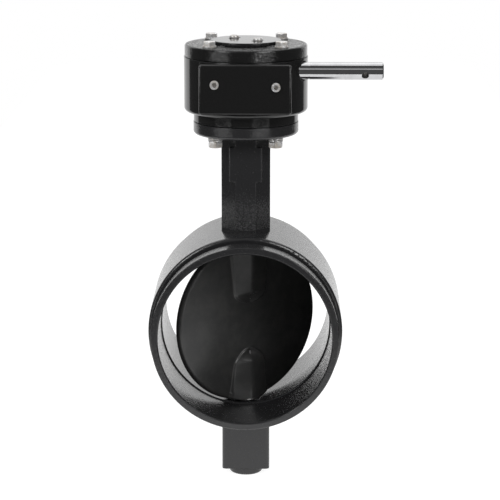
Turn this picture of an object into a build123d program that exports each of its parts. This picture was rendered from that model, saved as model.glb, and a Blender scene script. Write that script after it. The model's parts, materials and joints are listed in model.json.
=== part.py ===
from build123d import *
import os
from math import acos, cos, degrees, pi, radians, sin, sqrt, tan

# Butterfly valve for a grooved 6 in pipe, with a worm gear operator on top.
# Millimetres. The origin is where the pipe axis (Y) crosses the stem axis (Z);
# +Z runs up the stem and +X towards the free end of the input shaft.

# ---- driving dimensions -------------------------------------------------------------------

# pipe ends and ring
pipe_r = 84.15               # outside of the grooved pipe ends
face_to_face = 148.0
groove_seat = 15.88          # pipe end to groove
groove_width = 9.53
groove_depth = 2.17
ring_r = 87.9                # outside of the ring between the grooves
shoulder_round = 3.0
lip_step = 1.0               # how much wider the bore is at the pipe ends than at the seat
seat_r = 76.9                # bore where the disc closes
seat_half = 15.0             # half the seat's length along the pipe
seat_slope = 1.0             # length of the slope from the seat to the wider bore
lip_chamfer = 1.0
edge_break = 0.6

# disc
disc_seat_gap = 0.4          # radial gap between the disc and its seat
disc_rim_half = 4.0          # half the thickness at the rim
disc_mid_half = 6.5          # half the thickness in the middle
rubber = 2.5                 # thickness of the rubber over the core
hub_r = 13.0                 # at the outer ends of the hubs
hub_waist_r = 10.7           # where the hubs slope down into the disc
hub_blend = 19.0             # hollow blend from the sides of the hubs into the disc
hub_tip = 0.3                # height of the hubs' inner tips over the middle of the disc
hub_chord = 24.0             # half the width of the hub and its blends, before trimming
upper_hub_start = 16.5       # inner tip of the upper hub
upper_hub_waist = 26.4
lower_hub_start = 25.5
lower_hub_waist = 37.0
hub_setback = 0.6            # from the disc's rim to the flat outer ends of the hubs
hub_face_gap = 0.4           # between a hub's end and its spot face in the bore
hub_side_gap = 1.0           # around a hub, inside its spot face
rest_opening = 36.0          # opening angle of the disc as the valve is stored
half_turn = 45.0             # the middle of the quarter turn

# stems
stem_r = 8.0
upper_stem_start = 36.0      # inner ends of the two stems, inside the disc
lower_stem_start = 46.0
drive_flat = 6.2             # from the stem axis to each of its two driving flats
drive_flat_top = 66.0        # where the driving flats stop
stem_top = 252.0
running_gap = 0.04           # radial gap of a shaft in its bush
slip_gap = 0.05              # radial gap of fixed pieces that slide together
washer_gap = 0.25            # radial gap of a washer on its bolt
stem_chamfer = 1.0
end_gap = 0.2                # gap along the axis where one piece turns against another

# neck, flange and stub of the body
neck_across = 44.2           # across the flats of the octagonal neck
neck_sides = 8
flange_bottom = 174.9
flange_top = 186.0
flange_r = 47.6
flange_round = 3.0
panel_width = 29.6
panel_bottom = 132.8
panel_top = 164.8
panel_corner = 1.5
panel_round = 1.0
stub_width = 44.0
stub_depth = 31.0
stub_corner = 4.0
stub_bottom = -141.5
stem_bore_r = 10.0
bush_wall = 3.0
stub_bush_start = 79.0       # below the stem's centre
stub_bush_length = 26.0
neck_bush_start = 79.0
neck_bush_length = 22.0
top_bush_length = 26.0
o_ring_section = 1.4         # section radius of the stem O-rings
o_ring_gap = 0.1
o_ring_pitch = 7.0
o_ring_start = 108.0         # lower O-ring of the stem
groove_half = 2.0

# bottom plug and thrust washer
plug_head_r = 15.1
plug_head = 6.3
plug_thread_r = 11.8
plug_thread = 13.5
plug_nose_r = 10.5
plug_nose_top = -122.0
plug_chamfer = 1.0
plug_socket_across = 10.0
plug_socket_depth = 5.0
plug_ring_section = 0.85
plug_ring_groove = 1.7
plug_ring_groove_r = 14.0
thrust_washer_r = 10.4
thrust_washer = 2.0

# gaskets and flange bolts
flange_gasket = 0.8
cover_gasket = 0.5
gasket_inset = 2.0
flange_bolt_spacing = 54.0   # flange bolts, square pattern
flange_bolt_r = 4.0
flange_bolt_head_across = 12.0
flange_bolt_head = 5.3
flange_bolt_length = 28.0
flange_bolt_washer_r = 6.8
flange_bolt_washer = 1.6
flange_bolt_spring_r = 6.5
flange_bolt_spring = 2.1
clearance_hole = 0.5         # radial, where a bolt passes freely
spring_slit = 1.6
bolt_point = 0.5             # chamfer at the end of a bolt's shank
flat_to_side = 30.0          # turns a hexagon so that two of its flats face the sides

# gearbox housing
base_inset = 0.2             # how far the base stays inside the flange's edge
housing_r = 55.9
housing_bottom = 195.3
housing_top = 244.9
housing_round = 4.0
housing_wall = 6.0
cavity_floor = 203.0
boss_width = 81.4            # flat rectangular boss on the front
boss_front = 59.0
boss_bottom = 200.0
boss_top = 244.2
boss_corner = 2.6
boss_round = 1.8
base_bush_wall = 3.0

# gearbox cover
cover_inset = 0.6            # how far the cover stays inside the housing's edge
cover_top = 256.0
cover_round = 2.0
cover_recess_outer = 36.0
cover_recess_inner = 25.0
cover_recess = 4.0
cover_bolt_inset = 10.8      # from the housing's edge to the circle of the cover bolts
cover_bolt_r = 3.0
cover_bolt_head_across = 10.0
cover_bolt_head = 4.0
cover_bolt_length = 22.0
cover_bolt_washer_r = 6.2
cover_bolt_washer = 1.6
lug_r = 5.8                  # lugs inside the housing that take the cover bolts
lug_bottom = 231.0

# indicator
indicator_r = 32.0
indicator = 3.0
indicator_lift = 0.6         # underside of the plate above the cover
indicator_round = 0.8
indicator_screw_pitch_r = 15.0
indicator_screw_angle = -44.0
indicator_slot_half = 15.0   # degrees the slots reach to each side of the screws
plate_screw_r = 2.5
pan_head_r = 4.3
pan_head = 2.6
pan_depth = 9.0
pan_round = 1.5
pan_slot = 1.2

# worm and gear quadrant
module = 1.25
wheel_teeth = 20
worm_pitch_r = 8.0
pressure_angle = 20.0
backlash = 0.15              # taken off each flank
tooth_root_gap = 0.25        # between a tooth's tip and the bottom of the mating space
shaft_z = 234.0
wheel_half = 6.0             # half the face width of the teeth
teeth_each_side = 6          # teeth to each side of the middle one
quadrant_back_r = 15.0
quadrant_back_half = 65.0    # half the angle of the thick back of the hub
journal_r = 12.0             # lower bearing of the quadrant
top_journal_r = 19.0
top_journal_start = 243.8
cover_bush_wall = 3.0
arm_inset = 7.9              # from the cavity's wall to the ends of the stop arms
arm_half = 5.0
arm_facet = 7.0
arm_height = 6.8
arm_worm_gap = 0.45          # between the stop arms and the worm above them
lower_hub_r = 14.0
key_width = 5.0
key_height = 5.0
key_in_stem = 3.0
key_bottom = 208.0
key_top = 238.0
key_gap = 0.1

# input shaft
shaft_r = 8.0
shaft_end = 122.6
shaft_journal_r = 6.0
shaft_step_inset = 8.3       # from the housing's edge to where the shaft's free end starts
shaft_core_r = 5.0
core_step = 40.0
core_end = -21.5             # inner end of the shaft
shaft_chamfer = 1.0
relief_start = 56.0          # relief groove where the ground seat of the handwheel starts
relief_width = 0.8
relief_depth = 0.5
cross_hole_x = 106.3
cross_hole_r = 3.2
cross_hole_tilt = 25.0       # below the horizontal, towards the front
thread_start = -12.0
thread_end = 8.5
web_start = 14.5
web_thick = 6.0
web_back = 10.0
web_front = 50.0
web_bottom = 226.0
web_top = 243.0
web_bush_wall = 2.0
web_bush_flange_r = 8.5
web_bush_flange = 1.0
outer_bush_inset = 8.5
outer_bush_length = 6.4
outer_bush_step = 1.0        # how much wider the bush is than the shaft
outer_boss_r = 12.0
seal_section = 0.6
seal_inset = 10.6            # from the housing's edge to the shaft seal
seal_groove_half = 0.9
worm_pin_r = 1.5
worm_pin_x = 10.9
worm_pin_half = 6.3

# stop screws
stop_x = 27.0
stop_screw_r = 4.0
stop_closed_lift = 0.4       # height of each stop screw's centre over the top of the arms
stop_open_lift = 2.2
stop_socket_across = 4.0
stop_socket_depth = 5.0
stop_closed_front = 62.0     # how far each screw's outer end reaches to the front
stop_open_front = 60.2
stop_chamfer = 0.6

# ---- worked-out values --------------------------------------------------------------------

half_length = face_to_face / 2
lip_bore_r = seat_r + lip_step
disc_r = seat_r - disc_seat_gap
hub_end = disc_r - hub_setback
hub_heights = [(upper_hub_start, upper_hub_waist, hub_end), (-lower_hub_start, -lower_hub_waist, -hub_end)]
neck_start = (seat_r + ring_r) / 2
groove_front = half_length - groove_seat
groove_back = groove_front - groove_width
groove_r = pipe_r - groove_depth
base_r = flange_r - base_inset
base_bottom = flange_top + flange_gasket
cavity_r = housing_r - housing_wall
cover_r = housing_r - cover_inset
cover_bolt_spacing = sqrt(2) * (housing_r - cover_bolt_inset)
arm_radius = cavity_r - arm_inset
shaft_step = housing_r - shaft_step_inset
outer_bush_end = housing_r - outer_bush_inset
outer_bush_start = outer_bush_end - outer_bush_length
seal_x = housing_r - seal_inset
cover_bottom = housing_top + cover_gasket
indicator_bottom = cover_top + indicator_lift
indicator_top = indicator_bottom + indicator
spot_face = hub_end + hub_face_gap
bush_r = stem_r + bush_wall
base_bush_r = journal_r + base_bush_wall
cover_bush_r = top_journal_r + cover_bush_wall
web_bush_r = shaft_core_r + web_bush_wall
outer_bush_r = shaft_r + outer_bush_step
wheel_pitch_r = module * wheel_teeth / 2
centre_distance = wheel_pitch_r + worm_pitch_r
wheel_tip_r = wheel_pitch_r + module
worm_tip_r = worm_pitch_r + module
arm_top = shaft_z - worm_tip_r - arm_worm_gap
arm_bottom = arm_top - arm_height
stop_closed_z = arm_top + stop_closed_lift
stop_open_z = arm_top + stop_open_lift
worm_root_r = worm_pitch_r - module - tooth_root_gap
wheel_root_r = wheel_pitch_r - module - tooth_root_gap
thread_pitch = module * pi
shaft_y = -centre_distance
turn_from_middle = rest_opening - half_turn
stop_tip = (arm_radius + arm_half - arm_facet) * cos(radians(half_turn)) + end_gap
worm_half = web_start - web_bush_flange - end_gap
lower_stem_end = plug_nose_top + thrust_washer + end_gap
gear_ratio = wheel_teeth     # turns of the input shaft for one turn of the disc

disc_normal = Vector(0, 1, 0).rotate(Axis.Z, rest_opening)
disc_across = Vector(1, 0, 0).rotate(Axis.Z, rest_opening)
disc_section = Plane((0, 0, 0), x_dir=disc_normal, z_dir=disc_across)
disc_plan = Plane((0, 0, 0), x_dir=disc_across, z_dir=(0, 0, 1))
quadrant_across = Vector(1, 0, 0).rotate(Axis.Z, turn_from_middle)
quadrant_plan = Plane((0, 0, 0), x_dir=quadrant_across, z_dir=(0, 0, 1))
shaft_axis = Axis((0, shaft_y, shaft_z), (1, 0, 0))
shaft_plane = Plane((0, shaft_y, shaft_z), x_dir=(0, 1, 0), z_dir=(1, 0, 0))

os.makedirs("parts", exist_ok=True)


# ---- shapes used more than once -----------------------------------------------------------

def cylinder_between(radius, bottom, top, mode=Mode.ADD, base=Plane.XY):
    """A round bar along the base plane's normal, from one height to another."""
    with BuildSketch(base.offset(bottom)) as disc:
        Circle(radius)
    extrude(disc.sketch, amount=top - bottom, mode=mode)


def ring_between(outer, inner, bottom, top, mode=Mode.ADD, base=Plane.XY):
    """A round sleeve, washer, groove or gasket."""
    with BuildSketch(base.offset(bottom)) as annulus:
        Circle(outer)
        Circle(inner, mode=Mode.SUBTRACT)
    extrude(annulus.sketch, amount=top - bottom, mode=mode)


def hex_bolt(across, head, radius, length):
    """A hexagon bolt: its head hangs below the XY plane and its shank points up."""
    corner_r = across / 2 / cos(radians(30))
    crown = corner_r - across / 2
    with BuildPart() as bolt:
        with BuildSketch(Plane.XY.offset(-head)):
            RegularPolygon(radius=across / 2, side_count=6, major_radius=False, rotation=flat_to_side)
        extrude(amount=head)
        with BuildSketch(Plane.XZ):
            with BuildLine():
                Polyline((0, -head), (0, 0), (corner_r, 0), (corner_r, crown - head), (across / 2, -head))
                Line((across / 2, -head), (0, -head))
            make_face()
        revolve(axis=Axis.Z, mode=Mode.INTERSECT)
        cylinder_between(radius, 0, length)
        chamfer(bolt.edges().sort_by(Axis.Z)[-1], bolt_point)
    return bolt.part


def stop_screw(length):
    """A headless screw standing on the XY plane, with its hexagon socket on top."""
    with BuildPart() as screw:
        cylinder_between(stop_screw_r - slip_gap, 0, length)
        chamfer(screw.edges().filter_by(GeomType.CIRCLE), stop_chamfer)
        with BuildSketch(Plane.XY.offset(length)):
            RegularPolygon(stop_socket_across / 2, side_count=6, major_radius=False)
        extrude(amount=-stop_socket_depth, mode=Mode.SUBTRACT)
    return screw.part


def pan_screw():
    """A slotted pan head screw: its head stands on the XY plane and its shank points down."""
    with BuildPart() as screw:
        cylinder_between(pan_head_r, 0, pan_head)
        fillet(screw.edges().sort_by(Axis.Z)[-1], pan_round)
        with BuildSketch(Plane.XY.offset(pan_head)):
            Rectangle(2 * pan_head_r, pan_slot)
        extrude(amount=-pan_head / 2, mode=Mode.SUBTRACT)
        cylinder_between(plate_screw_r, -pan_depth, 0)
    return screw.part


def hub_section(height, radius, half):
    """A cut across the disc and a hub: a round bar that flows into a plate of this half thickness."""
    with BuildSketch(disc_plan.offset(height)) as section:
        Circle(radius)
        Rectangle(2 * hub_chord, 2 * half)
        fillet(section.vertices().filter_by_position(Axis.X, -radius, radius), hub_blend)
    return section.sketch


def disc_blank(skin):
    """The disc's outer shape, or the core's shape when it lies one skin below the surface."""
    rim_r = disc_r - skin
    rim_half = disc_rim_half - skin / 2
    mid_half = disc_mid_half - skin / 2
    rim_start = rim_r - rim_half / 2
    flat_end = hub_end - skin
    with BuildPart() as blank:
        with BuildSketch(disc_section):
            with BuildLine():
                Line((-mid_half, 0), (mid_half, 0))
                TangentArc((mid_half, 0), (rim_half, rim_start), tangent=(0, 1))
                ThreePointArc((rim_half, rim_start), (0, rim_r), (-rim_half, rim_start))
                TangentArc((-mid_half, 0), (-rim_half, rim_start), tangent=(0, 1))
            make_face()
        revolve(axis=Axis((0, 0, 0), disc_normal))
        for start, waist, end in hub_heights:
            tip = hub_section(start, mid_half + hub_tip, mid_half)
            shoulder = hub_section(waist, hub_waist_r - skin, mid_half - hub_tip)
            foot = hub_section(end, hub_r - skin, rim_half)
            loft([tip, shoulder, foot], ruled=True)
        Sphere(rim_r, mode=Mode.INTERSECT)
        cylinder_between(rim_r, -flat_end, flat_end, Mode.INTERSECT)
    return blank.part


def drive_section(gap):
    """The stem's section where it drives the disc: round, with two flats."""
    with BuildSketch(disc_plan.offset(upper_stem_start)) as section:
        Circle(stem_r + gap)
        Rectangle(3 * stem_r, 2 * (drive_flat + gap), mode=Mode.INTERSECT)
    return section.sketch


# ---- valve body ---------------------------------------------------------------------------

with BuildPart() as neck_panel:
    with BuildSketch(Plane.XZ.offset(-neck_across / 2)):
        with Locations((0, (panel_bottom + panel_top) / 2)):
            RectangleRounded(panel_width, panel_top - panel_bottom, panel_corner)
    extrude(amount=neck_across)
    fillet(neck_panel.faces().sort_by(Axis.Y)[0].edges(), panel_round)
    fillet(neck_panel.faces().sort_by(Axis.Y)[-1].edges(), panel_round)

with BuildPart() as valve_body:
    # the ring with its two grooved pipe ends
    with BuildSketch(Plane.YZ) as ring_section:
        half_section = [
            (seat_half, seat_r),
            (seat_half + seat_slope, lip_bore_r),
            (half_length - lip_chamfer, lip_bore_r),
            (half_length, lip_bore_r + lip_chamfer),
            (half_length, pipe_r - edge_break),
            (half_length - edge_break, pipe_r),
            (groove_front, pipe_r),
            (groove_front, groove_r),
            (groove_back, groove_r),
            (groove_back, ring_r),
        ]
        other_half = [(-along, out) for along, out in reversed(half_section)]
        with BuildLine():
            Polyline(*half_section, *other_half, close=True)
        make_face()
        fillet(ring_section.vertices().sort_by(Axis.Y)[-2:], shoulder_round)
    revolve(axis=Axis.Y)

    # octagonal neck with its flat panels, and the stub below
    with BuildSketch(Plane.XY.offset(neck_start)):
        RegularPolygon(neck_across / 2, neck_sides, major_radius=False, rotation=180 / neck_sides)
    extrude(amount=flange_bottom - neck_start)
    add(neck_panel.part)
    with BuildSketch(Plane.XY.offset(stub_bottom)):
        RectangleRounded(stub_width, stub_depth, stub_corner)
    extrude(amount=-neck_start - stub_bottom)

    # top flange with its bolt holes
    with BuildSketch(Plane.XZ) as flange_section:
        with BuildLine():
            Polyline((0, flange_bottom), (0, flange_top), (flange_r, flange_top), (flange_r, flange_bottom))
            Line((flange_r, flange_bottom), (0, flange_bottom))
        make_face()
        fillet(flange_section.vertices().sort_by(Axis.X)[-2:].sort_by(Axis.Y)[0], flange_round)
    revolve(axis=Axis.Z)
    with BuildSketch(Plane.XY.offset(flange_bottom)):
        with GridLocations(flange_bolt_spacing, flange_bolt_spacing, 2, 2):
            Circle(flange_bolt_r + clearance_hole)
    extrude(amount=flange_top - flange_bottom, mode=Mode.SUBTRACT)

    # stem bore with its spot faces, bush seats and O-ring grooves
    spot_face_r = hub_r + hub_side_gap
    cylinder_between(spot_face_r, -spot_face, spot_face, Mode.SUBTRACT)
    cylinder_between(stem_bore_r, 0, flange_top, Mode.SUBTRACT)
    cylinder_between(bush_r, 0, neck_bush_start + neck_bush_length, Mode.SUBTRACT)
    cylinder_between(bush_r, flange_top - top_bush_length, flange_top, Mode.SUBTRACT)
    for ring in range(2):
        ring_z = o_ring_start + ring * o_ring_pitch
        cylinder_between(bush_r, ring_z - groove_half, ring_z + groove_half, Mode.SUBTRACT)
    cylinder_between(bush_r, stub_bottom, 0, Mode.SUBTRACT)
    cylinder_between(plug_thread_r + slip_gap, stub_bottom, stub_bottom + plug_thread, Mode.SUBTRACT)
valve_body.part.label = "valve_body"
export_step(valve_body.part, "parts/valve_body.step")

# ---- bushes, seals and plug of the body ---------------------------------------------------

with BuildPart() as lower_neck_bush:
    ring_between(bush_r, stem_r + running_gap, neck_bush_start, neck_bush_start + neck_bush_length)
lower_neck_bush.part.label = "lower_neck_bush"
export_step(lower_neck_bush.part, "parts/lower_neck_bush.step")

with BuildPart() as upper_neck_bush:
    ring_between(bush_r, stem_r + running_gap, flange_top - top_bush_length, flange_top)
upper_neck_bush.part.label = "upper_neck_bush"
export_step(upper_neck_bush.part, "parts/upper_neck_bush.step")

with BuildPart() as stub_bush:
    ring_between(bush_r, stem_r + running_gap, -stub_bush_start - stub_bush_length, -stub_bush_start)
stub_bush.part.label = "stub_bush"
export_step(stub_bush.part, "parts/stub_bush.step")

with BuildPart() as stem_o_rings:
    with BuildSketch(Plane.XZ):
        for ring in range(2):
            with Locations((stem_r + o_ring_gap + o_ring_section, o_ring_start + ring * o_ring_pitch)):
                Circle(o_ring_section)
    revolve(axis=Axis.Z)
stem_o_rings.part.label = "stem_o_rings"
export_step(stem_o_rings.part, "parts/stem_o_rings.step")

plug_ring_mid_r = (plug_thread_r + plug_ring_groove_r) / 2
with BuildPart() as bottom_plug:
    cylinder_between(plug_head_r, stub_bottom - plug_head, stub_bottom)
    chamfer(bottom_plug.edges().sort_by(Axis.Z)[0], plug_chamfer)
    groove_bottom = stub_bottom - plug_ring_groove
    ring_between(plug_ring_groove_r, plug_thread_r, groove_bottom, stub_bottom, Mode.SUBTRACT)
    cylinder_between(plug_thread_r, stub_bottom, stub_bottom + plug_thread)
    cylinder_between(plug_nose_r, stub_bottom, plug_nose_top)
    with BuildSketch(Plane.XY.offset(stub_bottom - plug_head)):
        RegularPolygon(radius=plug_socket_across / 2, side_count=6, major_radius=False)
    extrude(amount=plug_socket_depth, mode=Mode.SUBTRACT)
bottom_plug.part.label = "bottom_plug"
export_step(bottom_plug.part, "parts/bottom_plug.step")

with BuildPart() as plug_o_ring:
    with BuildSketch(Plane.XZ):
        with Locations((plug_ring_mid_r, stub_bottom - plug_ring_groove / 2)):
            Circle(plug_ring_section)
    revolve(axis=Axis.Z)
plug_o_ring.part.label = "plug_o_ring"
export_step(plug_o_ring.part, "parts/plug_o_ring.step")

with BuildPart() as thrust_disc:
    cylinder_between(thrust_washer_r, plug_nose_top, plug_nose_top + thrust_washer)
thrust_disc.part.label = "thrust_washer"
export_step(thrust_disc.part, "parts/thrust_washer.step")

# ---- disc and stems -----------------------------------------------------------------------

core_blank = disc_blank(rubber)
rubber_blank = disc_blank(0)
stem_socket = drive_section(slip_gap)
stem_drive = drive_section(0)

with BuildPart() as disc_core:
    add(core_blank)
    cylinder_between(stem_r + slip_gap, -hub_end, -lower_stem_start, Mode.SUBTRACT)
    cylinder_between(stem_r + slip_gap, drive_flat_top, hub_end, Mode.SUBTRACT)
    extrude(stem_socket, amount=drive_flat_top - upper_stem_start, mode=Mode.SUBTRACT)
disc_core.part.label = "disc_core"
export_step(disc_core.part, "parts/disc_core.step")

with BuildPart() as disc_rubber:
    add(rubber_blank)
    add(core_blank, mode=Mode.SUBTRACT)
    cylinder_between(stem_r + slip_gap, -hub_end, rubber - hub_end, Mode.SUBTRACT)
    cylinder_between(stem_r + slip_gap, hub_end - rubber, hub_end, Mode.SUBTRACT)
disc_rubber.part.label = "disc_rubber"
export_step(disc_rubber.part, "parts/disc_rubber.step")

key_middle = stem_r - key_in_stem + key_height / 2
with BuildPart() as upper_stem:
    extrude(stem_drive, amount=drive_flat_top - upper_stem_start)
    cylinder_between(stem_r, drive_flat_top, stem_top)
    chamfer(upper_stem.edges().sort_by(Axis.Z)[-1], stem_chamfer)
    with BuildSketch(quadrant_plan.offset(key_bottom)):
        with Locations((0, key_middle)):
            Rectangle(key_width, key_height)
    extrude(amount=key_top - key_bottom, mode=Mode.SUBTRACT)
upper_stem.part.label = "upper_stem"
export_step(upper_stem.part, "parts/upper_stem.step")

with BuildPart() as lower_stem:
    cylinder_between(stem_r, lower_stem_end, -lower_stem_start)
    chamfer(lower_stem.edges().filter_by(GeomType.CIRCLE), stem_chamfer)
lower_stem.part.label = "lower_stem"
export_step(lower_stem.part, "parts/lower_stem.step")

with BuildPart() as stem_key:
    with BuildSketch(quadrant_plan.offset(key_bottom)):
        with Locations((0, key_middle)):
            Rectangle(key_width, key_height)
    extrude(amount=key_top - key_bottom)
stem_key.part.label = "stem_key"
export_step(stem_key.part, "parts/stem_key.step")

# ---- flange joint -------------------------------------------------------------------------

with BuildPart() as lower_gasket:
    with BuildSketch(Plane.XY.offset(flange_top)):
        Circle(base_r - gasket_inset)
        Circle(base_bush_r, mode=Mode.SUBTRACT)
        with GridLocations(flange_bolt_spacing, flange_bolt_spacing, 2, 2):
            Circle(flange_bolt_r + clearance_hole, mode=Mode.SUBTRACT)
    extrude(amount=flange_gasket)
lower_gasket.part.label = "flange_gasket"
export_step(lower_gasket.part, "parts/flange_gasket.step")

flange_bolt_head_underside = flange_bottom - flange_bolt_washer - flange_bolt_spring
flange_shank_r = flange_bolt_r - slip_gap
flange_bolt = hex_bolt(flange_bolt_head_across, flange_bolt_head, flange_shank_r, flange_bolt_length)
with BuildPart() as flange_bolts:
    with Locations((0, 0, flange_bolt_head_underside)):
        with GridLocations(flange_bolt_spacing, flange_bolt_spacing, 2, 2):
            add(flange_bolt)
flange_bolts.part.label = "flange_bolts"
export_step(flange_bolts.part, "parts/flange_bolts.step")

with BuildPart() as flange_washers:
    with BuildSketch(Plane.XY.offset(flange_bottom - flange_bolt_washer)):
        with GridLocations(flange_bolt_spacing, flange_bolt_spacing, 2, 2):
            Circle(flange_bolt_washer_r)
            Circle(flange_bolt_r + washer_gap, mode=Mode.SUBTRACT)
    extrude(amount=flange_bolt_washer)
flange_washers.part.label = "flange_washers"
export_step(flange_washers.part, "parts/flange_washers.step")

with BuildPart() as spring_washers:
    with BuildSketch(Plane.XY.offset(flange_bolt_head_underside)):
        with GridLocations(flange_bolt_spacing, flange_bolt_spacing, 2, 2):
            Circle(flange_bolt_spring_r)
            Circle(flange_bolt_r + washer_gap, mode=Mode.SUBTRACT)
            with Locations((0, flange_bolt_spring_r)):
                Rectangle(spring_slit, 2 * (flange_bolt_spring_r - flange_bolt_r), mode=Mode.SUBTRACT)
    extrude(amount=flange_bolt_spring)
spring_washers.part.label = "spring_washers"
export_step(spring_washers.part, "parts/spring_washers.step")

# ---- gearbox housing ----------------------------------------------------------------------

# bearing boss of the input shaft, kept inside the housing's round wall
with BuildPart() as shaft_boss:
    cylinder_between(outer_boss_r, outer_bush_start, housing_r, base=shaft_plane)
    cylinder_between((housing_r + cavity_r) / 2, cavity_floor, housing_top, Mode.INTERSECT)

with BuildPart() as front_boss:
    with BuildSketch(Plane.XZ):
        with Locations((0, (boss_bottom + boss_top) / 2)):
            RectangleRounded(boss_width, boss_top - boss_bottom, boss_corner)
    extrude(amount=boss_front)
    fillet(front_boss.faces().sort_by(Axis.Y)[0].edges(), boss_round)

with BuildPart() as gearbox_housing:
    cylinder_between(housing_r, housing_bottom, housing_top)
    fillet(gearbox_housing.edges().sort_by(Axis.Z)[0], housing_round)
    cylinder_between(base_r, base_bottom, housing_bottom)

    # flat rectangular boss across the front
    add(front_boss.part)

    # cavity, lugs for the cover bolts and the two webs that carry the worm
    cylinder_between(cavity_r, cavity_floor, housing_top, Mode.SUBTRACT)
    with BuildSketch(Plane.XY.offset(lug_bottom)):
        with GridLocations(cover_bolt_spacing, cover_bolt_spacing, 2, 2):
            Circle(lug_r)
    extrude(amount=housing_top - lug_bottom)
    with BuildSketch(Plane.XY.offset(web_bottom)):
        for side in (1, -1):
            with Locations((side * (web_start + web_thick / 2), -(web_front + web_back) / 2)):
                Rectangle(web_thick, web_front - web_back)
    extrude(amount=web_top - web_bottom)
    add(shaft_boss.part)

    # holes for the bushes, bolts and stop screws
    cylinder_between(base_bush_r, base_bottom, cavity_floor, Mode.SUBTRACT)
    cylinder_between(web_bush_r, -web_start - web_thick, web_start + web_thick, Mode.SUBTRACT, shaft_plane)
    cylinder_between(outer_bush_r, outer_bush_start, housing_r, Mode.SUBTRACT, shaft_plane)
    with BuildSketch(Plane.XY.offset(base_bottom)):
        with GridLocations(flange_bolt_spacing, flange_bolt_spacing, 2, 2):
            Circle(flange_bolt_r)
    extrude(amount=cavity_floor - base_bottom, mode=Mode.SUBTRACT)
    with BuildSketch(Plane.XY.offset(lug_bottom)):
        with GridLocations(cover_bolt_spacing, cover_bolt_spacing, 2, 2):
            Circle(cover_bolt_r)
    extrude(amount=housing_top - lug_bottom, mode=Mode.SUBTRACT)
    with BuildSketch(Plane.XZ.offset(stop_tip)):
        with Locations((stop_x, stop_closed_z), (-stop_x, stop_open_z)):
            Circle(stop_screw_r)
    extrude(amount=boss_front - stop_tip, mode=Mode.SUBTRACT)
gearbox_housing.part.label = "gearbox_housing"
export_step(gearbox_housing.part, "parts/gearbox_housing.step")

with BuildPart() as base_bush:
    ring_between(base_bush_r, journal_r + running_gap, base_bottom, cavity_floor)
base_bush.part.label = "base_bush"
export_step(base_bush.part, "parts/base_bush.step")

# ---- gearbox cover ------------------------------------------------------------------------

with BuildPart() as gearbox_cover:
    cylinder_between(cover_r, cover_bottom, cover_top)
    fillet(gearbox_cover.edges().sort_by(Axis.Z)[-1], cover_round)
    recess_top = cover_bottom + cover_recess
    ring_between(cover_recess_outer, cover_recess_inner, cover_bottom, recess_top, Mode.SUBTRACT)
    cylinder_between(cover_bush_r, cover_bottom, cover_top, Mode.SUBTRACT)
    with BuildSketch(Plane.XY.offset(cover_bottom)):
        with GridLocations(cover_bolt_spacing, cover_bolt_spacing, 2, 2):
            Circle(cover_bolt_r + washer_gap)
    extrude(amount=cover_top - cover_bottom, mode=Mode.SUBTRACT)
gearbox_cover.part.label = "gearbox_cover"
export_step(gearbox_cover.part, "parts/gearbox_cover.step")

with BuildPart() as upper_gasket:
    ring_between(cover_r - gasket_inset, cavity_r, housing_top, cover_bottom)
upper_gasket.part.label = "cover_gasket"
export_step(upper_gasket.part, "parts/cover_gasket.step")

with BuildPart() as cover_bush:
    ring_between(cover_bush_r, top_journal_r + running_gap, cover_bottom, cover_top)
cover_bush.part.label = "cover_bush"
export_step(cover_bush.part, "parts/cover_bush.step")

cover_bolt = hex_bolt(cover_bolt_head_across, cover_bolt_head, cover_bolt_r - slip_gap, cover_bolt_length)
with BuildPart() as cover_bolts:
    with Locations((0, 0, cover_top + cover_bolt_washer)):
        with GridLocations(cover_bolt_spacing, cover_bolt_spacing, 2, 2):
            add(cover_bolt, rotation=(180, 0, 0))
cover_bolts.part.label = "cover_bolts"
export_step(cover_bolts.part, "parts/cover_bolts.step")

with BuildPart() as cover_washers:
    with BuildSketch(Plane.XY.offset(cover_top)):
        with GridLocations(cover_bolt_spacing, cover_bolt_spacing, 2, 2):
            Circle(cover_bolt_washer_r)
            Circle(cover_bolt_r + washer_gap, mode=Mode.SUBTRACT)
    extrude(amount=cover_bolt_washer)
cover_washers.part.label = "cover_washers"
export_step(cover_washers.part, "parts/cover_washers.step")

# ---- gear quadrant ------------------------------------------------------------------------

lead_slope = thread_pitch / (2 * pi * worm_pitch_r)
tooth_lean = degrees(wheel_half * lead_slope / wheel_pitch_r)
flank_radii = [wheel_root_r - tooth_root_gap, wheel_root_r + module / 2, wheel_pitch_r, wheel_tip_r]


def tooth_half_angle(radius):
    """Half the angle that an involute tooth spans at this radius, in radians."""
    base_circle_r = wheel_pitch_r * cos(radians(pressure_angle))
    at_pitch = pi / (2 * wheel_teeth) - backlash / wheel_pitch_r
    angle_here = acos(min(1.0, base_circle_r / radius))
    involute_at_pitch = tan(radians(pressure_angle)) - radians(pressure_angle)
    involute_here = tan(angle_here) - angle_here
    return at_pitch + involute_at_pitch - involute_here


def tooth_corners(turn):
    """Corners of the tooth that points to the front, turned a little about the wheel's axis."""
    right = [(radius, tooth_half_angle(radius)) for radius in flank_radii]
    left = [(radius, -angle) for radius, angle in reversed(right)]
    front = radians(turn - 90)
    return [(radius * cos(front + angle), radius * sin(front + angle)) for radius, angle in right + left]


with BuildPart() as quadrant_tooth:
    with BuildSketch(quadrant_plan.offset(shaft_z - wheel_half)):
        with BuildLine():
            Polyline(*tooth_corners(tooth_lean), close=True)
        make_face()
    with BuildSketch(quadrant_plan.offset(shaft_z + wheel_half)):
        with BuildLine():
            Polyline(*tooth_corners(-tooth_lean), close=True)
        make_face()
    loft(ruled=True)

back_reach = 2 * quadrant_back_r
back_x = back_reach * sin(radians(quadrant_back_half))
back_y = back_reach * cos(radians(quadrant_back_half))

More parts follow.
